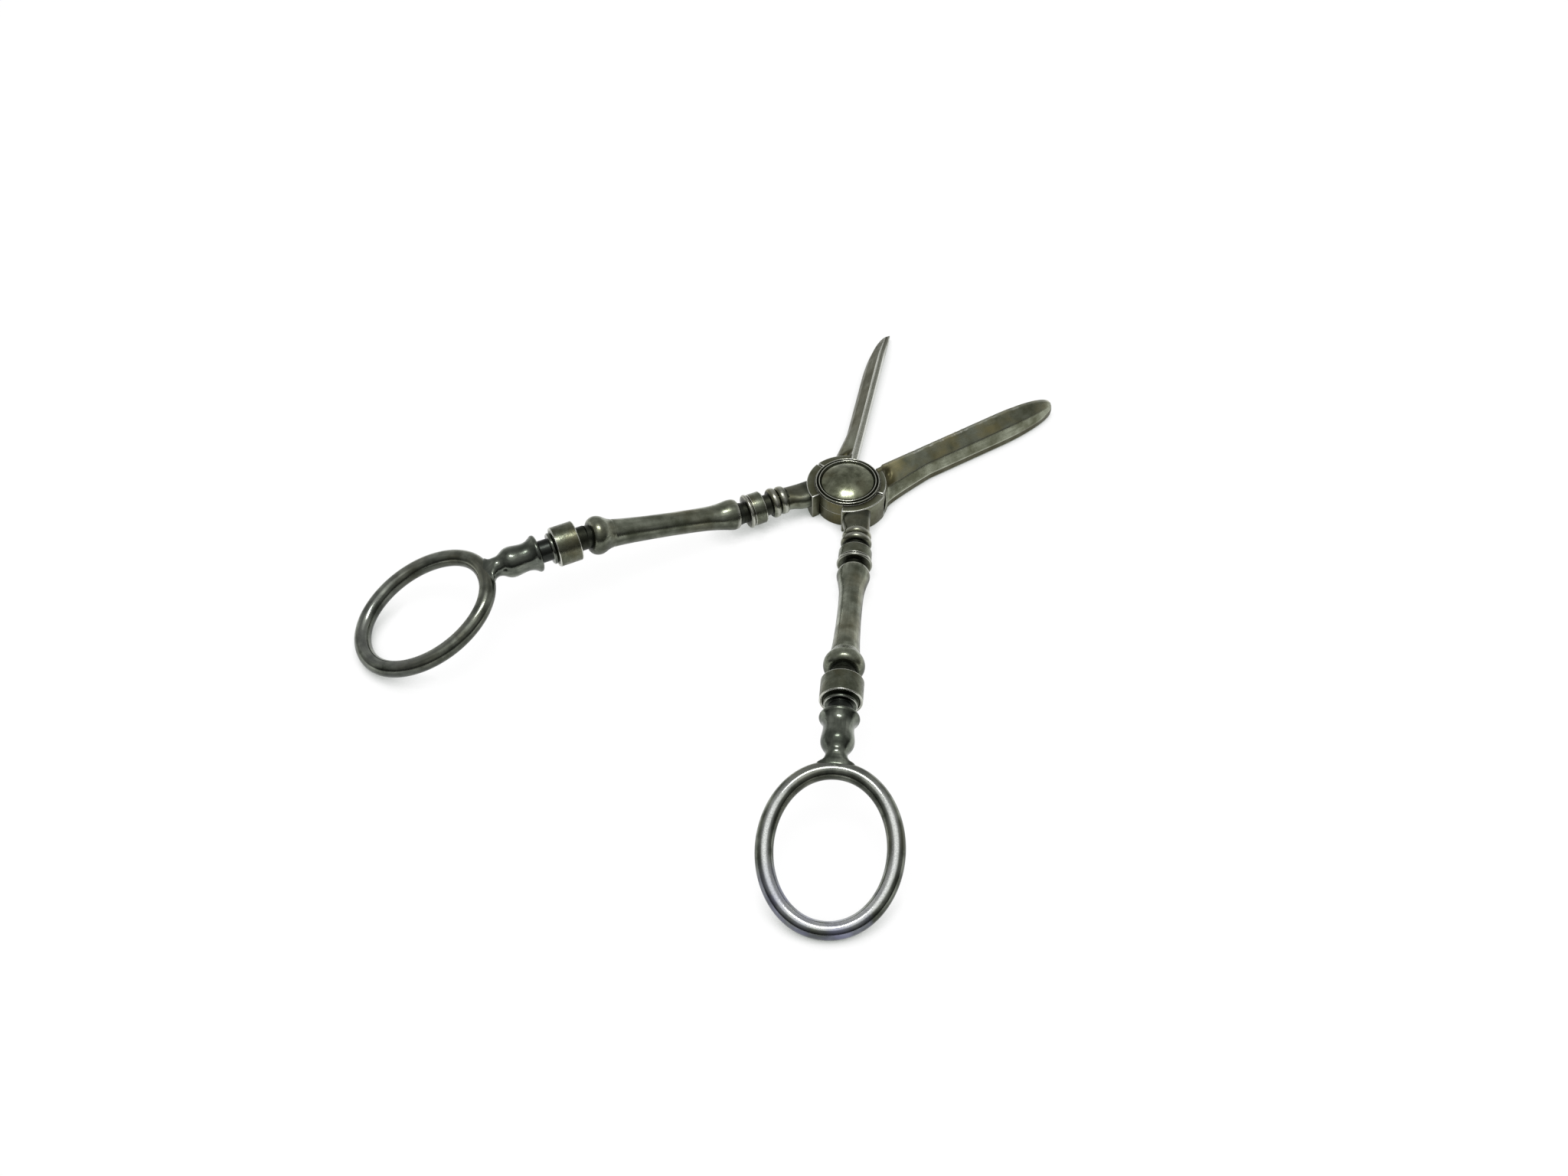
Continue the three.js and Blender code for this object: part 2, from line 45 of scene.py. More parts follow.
# a dictionary of a piece's settings, also read as p.name
class Settings(dict):
    __getattr__ = dict.__getitem__


print("frame loaded,", len(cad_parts), "nodes")

# the two arms: side +1 laps over the other at the pivot
arms = {"left_arm": 1, "right_arm": -1}

# the handle's own line, millimetres and degrees, as the frame has it
handle = Settings(
    openAngle=23.6, yaw=6.65, offset=2.95, neckHeight=4.75,
    firstBend=24.9, shaftPitch=13.8, secondBend=60.2,
)
shaftSlope = tan(radians(handle.shaftPitch))
handle["gripHeight"] = handle.neckHeight + (handle.secondBend - handle.firstBend) * shaftSlope


def armPlace(side):
    return Matrix.Rotation(-side * radians(handle.openAngle), 4, "Z")


def handlePlace(side):
    turn = Matrix.Rotation(side * radians(180 - handle.yaw), 4, "Z")
    return armPlace(side) @ turn @ Matrix.Translation((side * handle.offset * mm, 0, 0))


# stretches of the handle, each with +Y away from the pivot
stretches = {
    "level": Matrix.Translation((0, 0, handle.neckHeight * mm)),
    "sloping": Matrix.Translation((0, handle.firstBend * mm, handle.neckHeight * mm))
    @ Matrix.Rotation(radians(handle.shaftPitch), 4, "X"),
    "grip": Matrix.Translation((0, handle.secondBend * mm, handle.gripHeight * mm)),
}


def deselectAll():
    if bpy.context.object and bpy.context.object.mode != "OBJECT":
        bpy.ops.object.mode_set(mode="OBJECT")
    bpy.ops.object.select_all(action="DESELECT")


def selectOnly(piece):
    deselectAll()
    piece.select_set(True)
    bpy.context.view_layer.objects.active = piece


def smoothShade(piece, angle=35):
    selectOnly(piece)
    bpy.ops.object.shade_smooth_by_angle(angle=radians(angle))


def editAll():
    bpy.ops.object.mode_set(mode="EDIT")
    bpy.ops.mesh.select_all(action="SELECT")


# turns the mesh's faces outwards and leaves edit mode
def faceOutwards():
    bpy.ops.mesh.select_all(action="SELECT")
    bpy.ops.mesh.normals_make_consistent(inside=False)
    bpy.ops.object.mode_set(mode="OBJECT")


# moves a piece and puts its place into its mesh
def settle(piece, place):
    selectOnly(piece)
    piece.matrix_world = place
    bpy.ops.object.transform_apply(location=True, rotation=True, scale=True)


# a copy with a mesh of its own, moved into place
def placeCopy(pattern, name, place):
    selectOnly(pattern)
    bpy.ops.object.duplicate(linked=False)
    copy = bpy.context.object
    copy.name = name
    settle(copy, place)
    return copy


def dropPattern(pattern):
    selectOnly(pattern)
    bpy.ops.object.delete()


# the disc that turned and drawn pieces start from
def startDisc(name, around, radius=1):
    deselectAll()
    bpy.ops.mesh.primitive_circle_add(vertices=around, radius=radius * mm, fill_type="NGON")
    piece = bpy.context.object
    piece.name = name
    return piece


# soft step between two values, either way round
def eases(low, high, value):
    t = min(max((value - low) / (high - low), 0), 1)
    return t * t * (3 - 2 * t)


# a share of the way from one value to another
def blend(first, last, share):
    return first + (last - first) * share


# even steps up to 1, from 0 or a later step
def evenly(count, first=0):
    return [i / count for i in range(first, count + 1)]


# a place on the curve between two ends, drawn towards the points between
def bezier(points, t):
    while len(points) > 1:
        points = [[blend(a, b, t) for a, b in zip(p, q)] for p, q in zip(points, points[1:])]
    return tuple(points[0])


# outlines for the lathe: rings of place along and radius

# a half-round bead between two places along the work
def bead(start, end, root, crown, steps=14):
    middle, half = (start + end) / 2, (end - start) / 2
    turns = [pi * t for t in evenly(steps)]
    return [(middle - half * cos(a), blend(root, crown, sin(a))) for a in turns]


# a curve that leaves one ring towards a corner and ends on another ring
def flare(start, corner, end, steps):
    return [bezier((start, corner, end), t) for t in evenly(steps, 1)]


# a value on the smooth curve between the middle two of four values
def between(values, t):
    a, b, c, d = values
    bend, twist = 2 * a - 5 * b + 4 * c - d, 3 * b - a - 3 * c + d
    return 0.5 * (2 * b + (c - a) * t + bend * t ** 2 + twist * t ** 3)


# a smooth outline through rings of place along, half width and half height
def smoothRings(rings, steps=5):
    full = [(r[0], r[1], r[-1]) for r in rings]
    full = [full[0]] + full + [full[-1]]
    line = []
    for span in zip(full, full[1:], full[2:], full[3:]):
        for i in range(steps):
            line.append(tuple(between(values, i / steps) for values in zip(*span)))
    return line + [full[-1]]


# rounds the corners of an outline that turn by more than the sharp angle
def eased(outline, radius=0.12, steps=4, sharp=35, most=0.45, closest=1e-5):
    points = [Vector(ring) for ring in outline]
    rings = [tuple(points[0])]
    for before, corner, after in zip(points, points[1:], points[2:]):
        back, ahead = before - corner, after - corner
        if min(back.length, ahead.length) < closest:
            continue
        if pi - back.angle(ahead) < radians(sharp):
            rings.append(tuple(corner))
            continue
        cut = min(radius, most * back.length, most * ahead.length)
        start, end = corner + back.normalized() * cut, corner + ahead.normalized() * cut
        rings.append(tuple(start))
        rings.extend(flare(start, corner, end, steps))
    rings.append(tuple(points[-1]))
    return rings


# turns a piece about +Y: a disc drawn out ring by ring; a third value makes a ring oval
def turnPiece(name, outline, around=96, facing=False):
    along, wide, high = outline[0][0], outline[0][1], outline[0][-1]
    piece = startDisc(name, around, wide)
    settle(piece, Matrix.Translation((0, along * mm, 0)) @ Matrix.Rotation(-pi / 2, 4, "X"))
    editAll()
    for ring in outline[1:]:
        step = (0, (ring[0] - along) * mm, 0)
        bpy.ops.mesh.extrude_region_move(TRANSFORM_OT_translate={"value": step})
        ratio = (ring[1] / wide, 1, ring[-1] / high)
        bpy.ops.transform.resize(value=ratio, center_override=(0, ring[0] * mm, 0))
        along, wide, high = ring[0], ring[1], ring[-1]
    faceOutwards()
    keepTurning(piece)
    if facing:
        markGrooves(piece, outline)
    else:
        markHollows(piece, outline)
    markEdges(piece)
    smoothShade(piece)
    return piece


# a piece turned on its face and stood up on the pivot's axis
def turnUpright(name, outline, around):
    piece = turnPiece(name, outline, around, facing=True)
    settle(piece, Matrix.Rotation(pi / 2, 4, "X"))
    return piece


# draws a skin through rows of points, extruded one after another
def drawRows(name, rows):
    piece = startDisc(name, len(rows[0]))
    corner = piece.data.attributes.new("corner", "INT", "POINT")
    corner.data.foreach_set("value", list(range(len(rows[0]))))
    editAll()
    for number, row in enumerate(rows):
        if number:
            bpy.ops.mesh.extrude_region_move()
        mesh = bmesh.from_edit_mesh(piece.data)
        layer = mesh.verts.layers.int["corner"]
        for vert in mesh.verts:
            if vert.select:
                vert.co = Vector(row[vert[layer]]) * mm
        bmesh.update_edit_mesh(piece.data)
    faceOutwards()
    piece.data.attributes.remove(piece.data.attributes["corner"])
    return piece


def bevelSharp(piece, width, sharpness=40, segments=3):
    selectOnly(piece)
    bpy.ops.object.mode_set(mode="EDIT")
    bpy.ops.mesh.select_mode(type="EDGE")
    bpy.ops.mesh.select_all(action="DESELECT")
    bpy.ops.mesh.edges_select_sharp(sharpness=radians(sharpness))
    bpy.ops.mesh.bevel(offset=width * mm, segments=segments, affect="EDGES", clamp_overlap=True)
    bpy.ops.mesh.select_mode(type="VERT")
    bpy.ops.object.mode_set(mode="OBJECT")


# pieces of the arm are drawn for side +1
def mirrorFor(piece, side):
    if side > 0:
        return
    selectOnly(piece)
    editAll()
    bpy.ops.transform.resize(value=(-1, 1, 1), center_override=(0, 0, 0))
    faceOutwards()


# marks: values on the points of a mesh that the finishes read

def setMarks(piece, name, values):
    layers = piece.data.attributes
    layer = layers[name] if name in layers else layers.new(name, "FLOAT", "POINT")
    layer.data.foreach_set("value", values)


def raiseMarks(piece, name, values):
    for mark, value in zip(piece.data.attributes[name].data, values):
        mark.value = max(mark.value, value)


def weakenMarks(piece, name, shares):
    for mark, share in zip(piece.data.attributes[name].data, shares):
        mark.value *= share


# where each point stood on the lathe or the wire, so that streaks follow the work
def keepTurning(piece, places=None):
    values = [x for place in places or [v.co for v in piece.data.vertices] for x in place]
    kept = piece.data.attributes.new("turning", "FLOAT_VECTOR", "POINT")
    kept.data.foreach_set("vector", values)


# how deep each point of a turned piece lies between taller rings, for grime and painted shade in the
# hollows
def markHollows(piece, outline, reach=2.2, slope=0.45, shallow=0.25, deep=1.3, least=0.01):
    depths = []
    for vert in piece.data.vertices:
        along, radius = vert.co.y / mm, max(hypot(vert.co.x, vert.co.z) / mm, least)
        across, up = vert.co.x / mm / radius, vert.co.z / mm / radius
        walls = [
            1 / hypot(across / ring[1], up / ring[-1]) - slope * abs(ring[0] - along) - radius
            for ring in outline if abs(ring[0] - along) < reach
        ]
        depths.append(eases(shallow, deep, max(walls, default=0)))
    setMarks(piece, "grimeAndShade", depths)


# the same for a piece turned on its face, between rings of other radii
def markGrooves(piece, outline, reach=0.8, slope=0.5, shallow=0.02, deep=0.2):
    depths = []
    for vert in piece.data.vertices:
        height, radius = vert.co.y / mm, hypot(vert.co.x, vert.co.z) / mm
        walls = [
            ring[0] - slope * abs(ring[1] - radius) - height
            for ring in outline if abs(ring[1] - radius) < reach
        ]
        depths.append(eases(shallow, deep, max(walls, default=0)))
    setMarks(piece, "grimeAndShade", depths)


# painted shade where the skin looks down at the table: the metal colour is darkened there
def markUnderside(piece, share, steep=0.05, flat=0.6):
    raiseMarks(piece, "grimeAndShade", [share * (1 - eases(steep, flat, v.normal.z)) for v in piece.data.vertices])


# how sharply the skin turns out at each point, for worn bright edges
def markEdges(piece, low=1.6, high=5.0, closest=0.02):
    mesh = bmesh.new()
    mesh.from_mesh(piece.data)
    bends = []
    for vert in mesh.verts:
        bend = 0
        for edge in vert.link_edges:
            if len(edge.link_faces) == 2:
                first, second = (f.calc_center_median() for f in edge.link_faces)
                middle = (edge.verts[0].co + edge.verts[1].co) / 2
                spacing = ((first - middle).length + (second - middle).length) / mm
                bend = max(bend, edge.calc_face_angle_signed(0) / max(spacing, closest))
        bends.append(eases(low, high, bend))
    mesh.free()
    setMarks(piece, "wearAndSheen", bends)


# rubbed metal and a painted highlight along the crests of a turned piece
def brightenCrests(piece, share, reach, *crests):
    away = [min(abs(v.co.y / mm - crest) for crest in crests) for v in piece.data.vertices]
    raiseMarks(piece, "wearAndSheen", [share * eases(reach, 0, distance) for distance in away])


def newFinish(name):
    finish = bpy.data.materials.new(name)
    finish.use_nodes = True
    tree = finish.node_tree
    return finish, tree, tree.nodes["Principled BSDF"]


def addNode(tree, kind, **settings):
    node = tree.nodes.new("ShaderNode" + kind)
    for key, value in settings.items():
        setattr(node, key, value)
    return node


def setInputs(node, values):
    for key, value in values.items():
        node.inputs[key].default_value = value


def joinTo(tree, source, socket):
    if isinstance(source, (int, float)):
        socket.default_value = source
    elif isinstance(source, (tuple, list)):
        socket.default_value = source if len(source) > 3 or socket.type == "VECTOR" else (*source, 1)
    else:
        tree.links.new(source, socket)


def mathNode(tree, operation, first, second=0.0, clamp=False):
    node = addNode(tree, "Math", operation=operation, use_clamp=clamp)
    joinTo(tree, first, node.inputs[0])
    joinTo(tree, second, node.inputs[1])
    return node.outputs[0]


def mapRange(tree, value, low, high, toLow=0.0, toHigh=1.0):
    node = addNode(tree, "MapRange", clamp=True)
    sources = {"Value": value, "From Min": low, "From Max": high, "To Min": toLow, "To Max": toHigh}
    for key, source in sources.items():
        joinTo(tree, source, node.inputs[key])
    return node.outputs["Result"]


def mixColour(tree, share, first, second):
    node = addNode(tree, "Mix", data_type="RGBA")
    for socket, source in ((0, share), (6, first), (7, second)):  # 6 and 7 take colours
        joinTo(tree, source, node.inputs[socket])
    return node.outputs[2]


def noiseNode(tree, place, size, detail=3.0, roughness=0.55, stretch=(1, 1, 1)):
    mapping = addNode(tree, "Mapping")
    tree.links.new(place, mapping.inputs["Vector"])
    mapping.inputs["Scale"].default_value = [s / (size * mm) for s in stretch]
    node = addNode(tree, "TexNoise")
    tree.links.new(mapping.outputs["Vector"], node.inputs["Vector"])
    setInputs(node, {"Scale": 1, "Detail": detail, "Roughness": roughness})
    return node.outputs["Fac"]


def attributeNode(tree, name, kind="Fac"):
    return addNode(tree, "Attribute", attribute_name=name).outputs[kind]


# noise levels between which each effect on the metal fades in
bands = Settings(
    cloud=(0.36, 0.64), warm=(0.46, 0.66), streak=(0.35, 0.7), fleck=(0.56, 0.72),
    rub=(0.3, 0.6), cast=(0.4, 0.6), gloss=(0.3, 0.7),
)
# least rub on an edge, strongest cast, and what the grime-and-painted-shade mark and the
# wear-and-painted-sheen mark do to the roughness
wear = Settings(patchyRub=0.55, castShare=0.6, grimeRough=0.2, rubRough=-0.12, leastRough=0.05)


# old silver plate: grey-green metal, dark cloudy tarnish, black grime and painted shade in hollows and
# undersides, bright rubbed edges and painted highlights
def tarnishedPlate(name, look):
    finish, tree, shader = newFinish(name)
    place = addNode(tree, "TexCoord").outputs["Object"]
    lathe = attributeNode(tree, "turning", "Vector")
    cloud = noiseNode(tree, place, look.cloudSize, 4)
    patch = noiseNode(tree, place, look.patchSize, 3)
    grain = noiseNode(tree, place, look.grainSize, 2, 0.6)
    streak = noiseNode(tree, lathe, look.streakSize, 3, 0.6, look.streakStretch)
    dents = noiseNode(tree, place, look.dentSize, 1)
    wearAndSheen, grimeAndShade = attributeNode(tree, "wearAndSheen"), attributeNode(tree, "grimeAndShade")

    warm = mapRange(tree, patch, *bands.warm, 0, look.warmShare)
    if look.get("warmMarked"):
        warm = mathNode(tree, "MULTIPLY", warm, attributeNode(tree, "warmth"))
    rub = mapRange(tree, grain, *bands.rub, look.edgeShare * wear.patchyRub, look.edgeShare)
    # coats: tarnish, warm patches and flecks, then grime together with painted shade, then rubbed metal
    # together with painted highlights
    coats = [
        (mapRange(tree, cloud, *bands.cloud), "tarnish"),
        (warm, "warm"),
        (mapRange(tree, streak, *bands.streak, 0, look.streakShare), "tarnish"),
        (mapRange(tree, grain, *bands.fleck, 0, look.grainShare), "fleck"),
        (mapRange(tree, grimeAndShade, 0, 1, 0, look.grimeShare), "grime"),
        (mathNode(tree, "MULTIPLY", wearAndSheen, rub), "rubbedAndSheen"),
    ]
    if "cast" in look:
        cast = mapRange(tree, patch, *bands.cast, 0, wear.castShare)
        coats.append((mathNode(tree, "MULTIPLY", cast, attributeNode(tree, "cast")), "cast"))
    plate = look.metal
    for share, colour in coats:
        plate = mixColour(tree, share, plate, look[colour])
    tree.links.new(plate, shader.inputs["Base Color"])
    shader.inputs["Metallic"].default_value = 1

    gloss = mapRange(tree, cloud, *bands.gloss, look.smooth, look.rough)
    changes = (
        mapRange(tree, streak, *bands.streak, -look.streakRough, look.streakRough),
        mapRange(tree, grain, *bands.gloss, -look.grainRough, look.grainRough),
        mapRange(tree, grimeAndShade, 0, 1, 0, wear.grimeRough),
        mathNode(tree, "MULTIPLY", wearAndSheen, wear.rubRough),
    )
    for change in changes:
        gloss = mathNode(tree, "ADD", gloss, change)
    gloss = mathNode(tree, "MAXIMUM", gloss, wear.leastRough, True)
    tree.links.new(gloss, shader.inputs["Roughness"])

    relief = mathNode(tree, "MULTIPLY", grain, look.grainDepth)
    for noise, depth in ((streak, "streakDepth"), (dents, "dentDepth")):
        relief = mathNode(tree, "ADD", relief, mathNode(tree, "MULTIPLY", noise, look[depth]))
    bump = addNode(tree, "Bump")
    setInputs(bump, {"Strength": 1, "Distance": mm})
    tree.links.new(relief, bump.inputs["Height"])
    tree.links.new(bump.outputs["Normal"], shader.inputs["Normal"])
    return finish


# colours are linear; sizes and depths are in millimetres
polishedLook = Settings(
    metal=(0.36, 0.385, 0.305), tarnish=(0.115, 0.126, 0.088), warm=(0.22, 0.185, 0.1),
    fleck=(0.09, 0.095, 0.07), grime=(0.026, 0.029, 0.023), rubbedAndSheen=(0.8, 0.81, 0.73),
    cloudSize=3.2, patchSize=9, grainSize=0.22, streakSize=0.7, streakStretch=(1, 0.06, 1),
    dentSize=2.6, warmShare=0.5, streakShare=0.65, grainShare=0.25, grimeShare=0.9,
    edgeShare=0.8, smooth=0.19, rough=0.32, streakRough=0.06, grainRough=0.03,
    grainDepth=0.003, streakDepth=0.008, dentDepth=0.022,
)
satinLook = Settings(
    metal=(0.24, 0.26, 0.2), tarnish=(0.1, 0.108, 0.074), warm=(0.16, 0.14, 0.075),
    fleck=(0.045, 0.048, 0.036), grime=(0.018, 0.02, 0.015), rubbedAndSheen=(0.86, 0.87, 0.79),
    cloudSize=2.6, patchSize=6, grainSize=0.3, streakSize=0.5, streakStretch=(0.1, 1, 0.1),
    dentSize=2.2, warmShare=0.5, streakShare=0.4, grainShare=0.5, grimeShare=0.92,
    edgeShare=1, smooth=0.24, rough=0.36, streakRough=0.05, grainRough=0.09,
    grainDepth=0.013, streakDepth=0.006, dentDepth=0.02,
)
bladeLook = Settings(
    metal=(0.37, 0.395, 0.305), tarnish=(0.16, 0.17, 0.112), warm=(0.47, 0.4, 0.18),
    fleck=(0.06, 0.06, 0.04), grime=(0.05, 0.044, 0.018), rubbedAndSheen=(0.85, 0.86, 0.79),
    cloudSize=4, patchSize=7, grainSize=0.28, streakSize=0.35, streakStretch=(1, 0.06, 1),
    dentSize=3, warmShare=0.6, warmMarked=True, streakShare=0.4, grainShare=0.35,
    grimeShare=0.9, edgeShare=0.9, smooth=0.24, rough=0.36, streakRough=0.05,
    grainRough=0.05, grainDepth=0.006, streakDepth=0.008, dentDepth=0.03,
)
darkLook = Settings(
    metal=(0.12, 0.122, 0.115), tarnish=(0.05, 0.05, 0.046), warm=(0.1, 0.07, 0.045),
    fleck=(0.03, 0.03, 0.028), grime=(0.03, 0.03, 0.028), rubbedAndSheen=(0.5, 0.5, 0.47),
    cloudSize=2, patchSize=4, grainSize=0.25, streakSize=0.5, streakStretch=(1, 0.1, 1),
    dentSize=2, warmShare=0.4, streakShare=0.3, grainShare=0.3, grimeShare=0.8,
    edgeShare=0.7, smooth=0.35, rough=0.5, streakRough=0.05, grainRough=0.06,
    grainDepth=0.01, streakDepth=0.01, dentDepth=0.02,
)
capLook = Settings(
    satinLook, metal=(0.33, 0.35, 0.25), tarnish=(0.11, 0.118, 0.075), smooth=0.17, rough=0.26,
    cloudSize=2.3, grainRough=0.05, grainDepth=0.004, dentDepth=0.012, streakStretch=(1, 1, 0.12),
)
slateLook = Settings(
    polishedLook, metal=(0.29, 0.315, 0.26), tarnish=(0.083, 0.095, 0.075), warm=(0.13, 0.14, 0.13),
    fleck=(0.045, 0.05, 0.046), grime=(0.015, 0.017, 0.016), smooth=0.13, rough=0.22, streakSize=0.6,
)
ringLook = Settings(
    polishedLook, metal=(0.32, 0.343, 0.285), tarnish=(0.085, 0.095, 0.075), warm=(0.2, 0.19, 0.13),
    rubbedAndSheen=(0.84, 0.86, 0.84), cast=(0.3, 0.31, 0.5), edgeShare=1, smooth=0.13, rough=0.22,
    streakSize=0.6, streakShare=0.75, grainDepth=0.001, streakDepth=0.004, dentDepth=0.01,
)
finishes = {
    "polished_plate": tarnishedPlate("polishedPlate", polishedLook),
    "satin_plate": tarnishedPlate("satinPlate", satinLook),
    "blade_plate": tarnishedPlate("bladePlate", bladeLook),
    "dark_steel": tarnishedPlate("darkSteel", darkLook),
    "cap": tarnishedPlate("capPlate", capLook),
    "slate": tarnishedPlate("slatePlate", slateLook),
    "ring": tarnishedPlate("ringPlate", ringLook),
}
print("finishes made")


def dress(piece, finish):
    piece.data.materials.clear()
    piece.data.materials.append(finish)


def fitPiece(piece, body, slotName, *nodes, look=None):
    dress(piece, finishes[look or slotName])
    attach(piece, body)
    if nodes:
        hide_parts(*nodes)


# lifts the upper half of a turned piece over one stretch along it
def raiseTop(piece, share, start, full, last, end, upper=(-0.1, 0.9)):
    for vert in piece.data.vertices:
        along, radius = vert.co.y / mm, hypot(vert.co.x, vert.co.z)
        up = vert.co.z / radius if radius else 0
        lift = share * eases(start, full, along) * (1 - eases(last, end, along))
        vert.co.z *= 1 + lift * eases(*upper, up)


def dipEnd(piece, drop, start, full):
    for vert in piece.data.vertices:
        vert.co.z -= drop * mm * eases(start, full, vert.co.y / mm)


# a turned handle piece: modelled once, copied to both arms
# ease rounds corners, spindles get painted shade as dark stretches, crests get rubbed metal and a painted
# highlight, under paints shade on the lower side
def turnForBoth(node, p, outline, stretch, slotName, look=None, reshape=None):
    pattern = turnPiece("pattern", eased(outline, p.ease) if p.ease else outline)
    if reshape:
        reshape(pattern)
    if "crests" in p:
        brightenCrests(pattern, *p.crests)
    places = [vert.co.y / mm for vert in pattern.data.vertices]
    dark = [any(start <= along <= end for start, end in p.spindles) for along in places]
    # painted shade over the spindles between the collars; elsewhere an even level of grime
    raiseMarks(pattern, "grimeAndShade", [1 if isDark else p.grime for isDark in dark])
    for arm, side in arms.items():
        copy = placeCopy(pattern, f"{arm}_{node}_turned", handlePlace(side) @ stretches[stretch])
        markUnderside(copy, p.under)
        fitPiece(copy, arm, slotName, f"{arm}_{node}", look=look)
    dropPattern(pattern)


# twin beads against the neck
neckBeads = Settings(
    start=13.6, first=14, length=2, root=2.5, inner=3.2, outer=3.4, hub=2.35, end=19.8,
    ease=0.12, grime=0, under=0.4, spindles=((13, 14.12), (15.88, 16.12), (17.88, 20)),
    crests=(0.62, 0.65, 15, 17),
)


def turnNeckBeads(p):
    middle, last = p.first + p.length, p.first + 2 * p.length
    outline = [(p.start, p.hub), (p.first, p.hub)]
    outline += bead(p.first, middle, p.root, p.inner)
    outline += bead(middle, last, p.root, p.outer)
    outline += [(last, p.hub), (p.end, p.hub)]
    turnForBoth("neck_beads", p, outline, "level", "polished_plate")


# small drum with a lip beyond a narrow groove
smallCollar = Settings(
    start=19.6, drum=3.6, bevel=0.25, drumEnd=22.5, grooveStart=22.6, groove=3.32,
    lipStart=22.8, lipRoot=3.5, lip=3.85, lipEnd=23.6, hub=2.3, end=25.1,
    ease=0.09, grime=0, under=0.3, spindles=((23.65, 26),), crests=(0.6, 0.42, 23.2),
)


def turnSmallCollar(p):
    outline = [
        (p.start, p.hub), (p.start, p.drum - p.bevel), (p.start + p.bevel, p.drum),
        (p.drumEnd, p.drum), (p.grooveStart, p.groove), (p.lipStart, p.groove),
    ]
    outline += bead(p.lipStart, p.lipEnd, p.lipRoot, p.lip, 10)
    outline += [(p.lipEnd, p.hub), (p.end, p.hub)]
    turnForBoth("small_collar", p, outline, "level", "satin_plate")


# shaft: an oval bell at the neck end, a slim waist, and a flare into a round bead
shaft = Settings(
    hub=2.45, start=0.1, bellStart=0.9,
    line=(
        (1.0, 2.9, 2.6), (1.2, 3.22, 2.82), (1.6, 3.47, 2.98), (2.3, 3.57, 3.06), (3.1, 3.5, 3.0),
        (4.2, 3.28, 2.87), (5.4, 3.08, 2.76), (6.8, 2.87, 2.67), (8.4, 2.69, 2.6), (10.5, 2.6, 2.57),
        (13, 2.55), (17, 2.54), (21, 2.59), (25, 2.69), (28, 2.82), (29.8, 2.95), (30.9, 3.09),
        (31.6, 3.28), (32.2, 3.55), (32.8, 3.87), (33.4, 4.1), (34, 4.17), (34.6, 4.1), (35.2, 3.86),
        (35.6, 3.5), (35.8, 3.1),
    ),
    beadEnd=35.85, end=36.9, quirkAt=30.6, quirkDepth=0.07, quirkWidth=0.17,
    rise=(0.15, 0.95, 1.7, 3.4, 6.2),
    ease=0, grime=0, under=0.72, spindles=((0, 0.95), (35.8, 38)), crests=(0.55, 0.8, 1.7),
)


def turnShaft(p):
    outline = [(p.start, p.hub), (p.bellStart, p.hub)]
    for along, wide, high in smoothRings(p.line):
        sunk = p.quirkDepth * exp(-((along - p.quirkAt) / p.quirkWidth) ** 2)
        outline.append((along, wide - sunk, high - sunk))
    outline += [(p.beadEnd, p.hub), (p.end, p.hub)]
    turnForBoth("shaft", p, outline, "sloping", "polished_plate",
                reshape=lambda piece: raiseTop(piece, *p.rise))


# large drum with rubbed rims and a dished outer end
largeCollar = Settings(
    start=0.2, hub=2.6, drumStart=2.2, drumEnd=7.3, drum=4.3, rim=0.16, rimWidth=0.45,
    dish=0.3, dishFloor=0.95, ease=0.1, grime=0.1, under=0.3, spindles=((0, 2.1),),
)


def turnLargeCollar(p):
    dished = p.drumEnd - p.dish
    outline = [
        (p.start, p.hub), (p.drumStart, p.hub), (p.drumStart, p.drum - p.rim),
        (p.drumStart + p.rim, p.drum), (p.drumEnd - p.rim, p.drum),
        (p.drumEnd, p.drum - p.rim), (p.drumEnd, p.drum - p.rimWidth),
        (dished, p.hub + p.dishFloor), (dished, p.hub),
    ]
    turnForBoth("large_collar", p, outline, "grip", "satin_plate")


# thin ring on the spindle behind the drum
stepRing = Settings(
    start=6.8, ringStart=7.4, ring=3.4, root=3.1, ringEnd=8.3, hub=2.4, end=10.4,
    ease=0.08, grime=0.3, under=0.4, spindles=((8.35, 11),),
)


def turnStepRing(p):
    outline = [(p.start, p.root), (p.ringStart, p.root)]
    outline += bead(p.ringStart, p.ringEnd, p.root, p.ring, 10)
    outline += [(p.ringEnd, p.hub), (p.end, p.hub)]
    turnForBoth("step_ring", p, outline, "grip", "satin_plate", "slate")


# trumpet lip, waist, bulb and a short neck that spreads a little onto the ring
finial = Settings(
    start=9.9, hub=2.42, face=10.5,
    line=(
        (10.55, 2.9), (10.68, 3.4), (10.82, 3.74), (11.02, 3.93), (11.3, 4.0), (11.6, 3.92), (11.95, 3.66),
        (12.35, 3.4), (12.8, 3.19), (13.4, 3.05), (14.1, 3.02), (15, 3.11), (15.9, 3.24), (16.8, 3.3),
        (17.6, 3.18), (18.3, 2.86), (18.9, 2.47), (19.4, 2.22), (19.9, 2.13), (20.3, 2.17, 2.1),
        (20.7, 2.33, 2.06), (21.0, 2.57, 2.0), (21.25, 2.9, 1.96), (21.45, 3.3, 1.91), (21.65, 3.7, 1.87),
        (22.2, 3.9, 1.8), (22.8, 3.6, 1.76), (23.3, 2.8, 1.55), (23.7, 1.9, 1.2),
    ),
    dip=(0.96, 20.0, 22.6), ease=0, grime=0.1, under=0.3, spindles=((9, 10.5),),
)


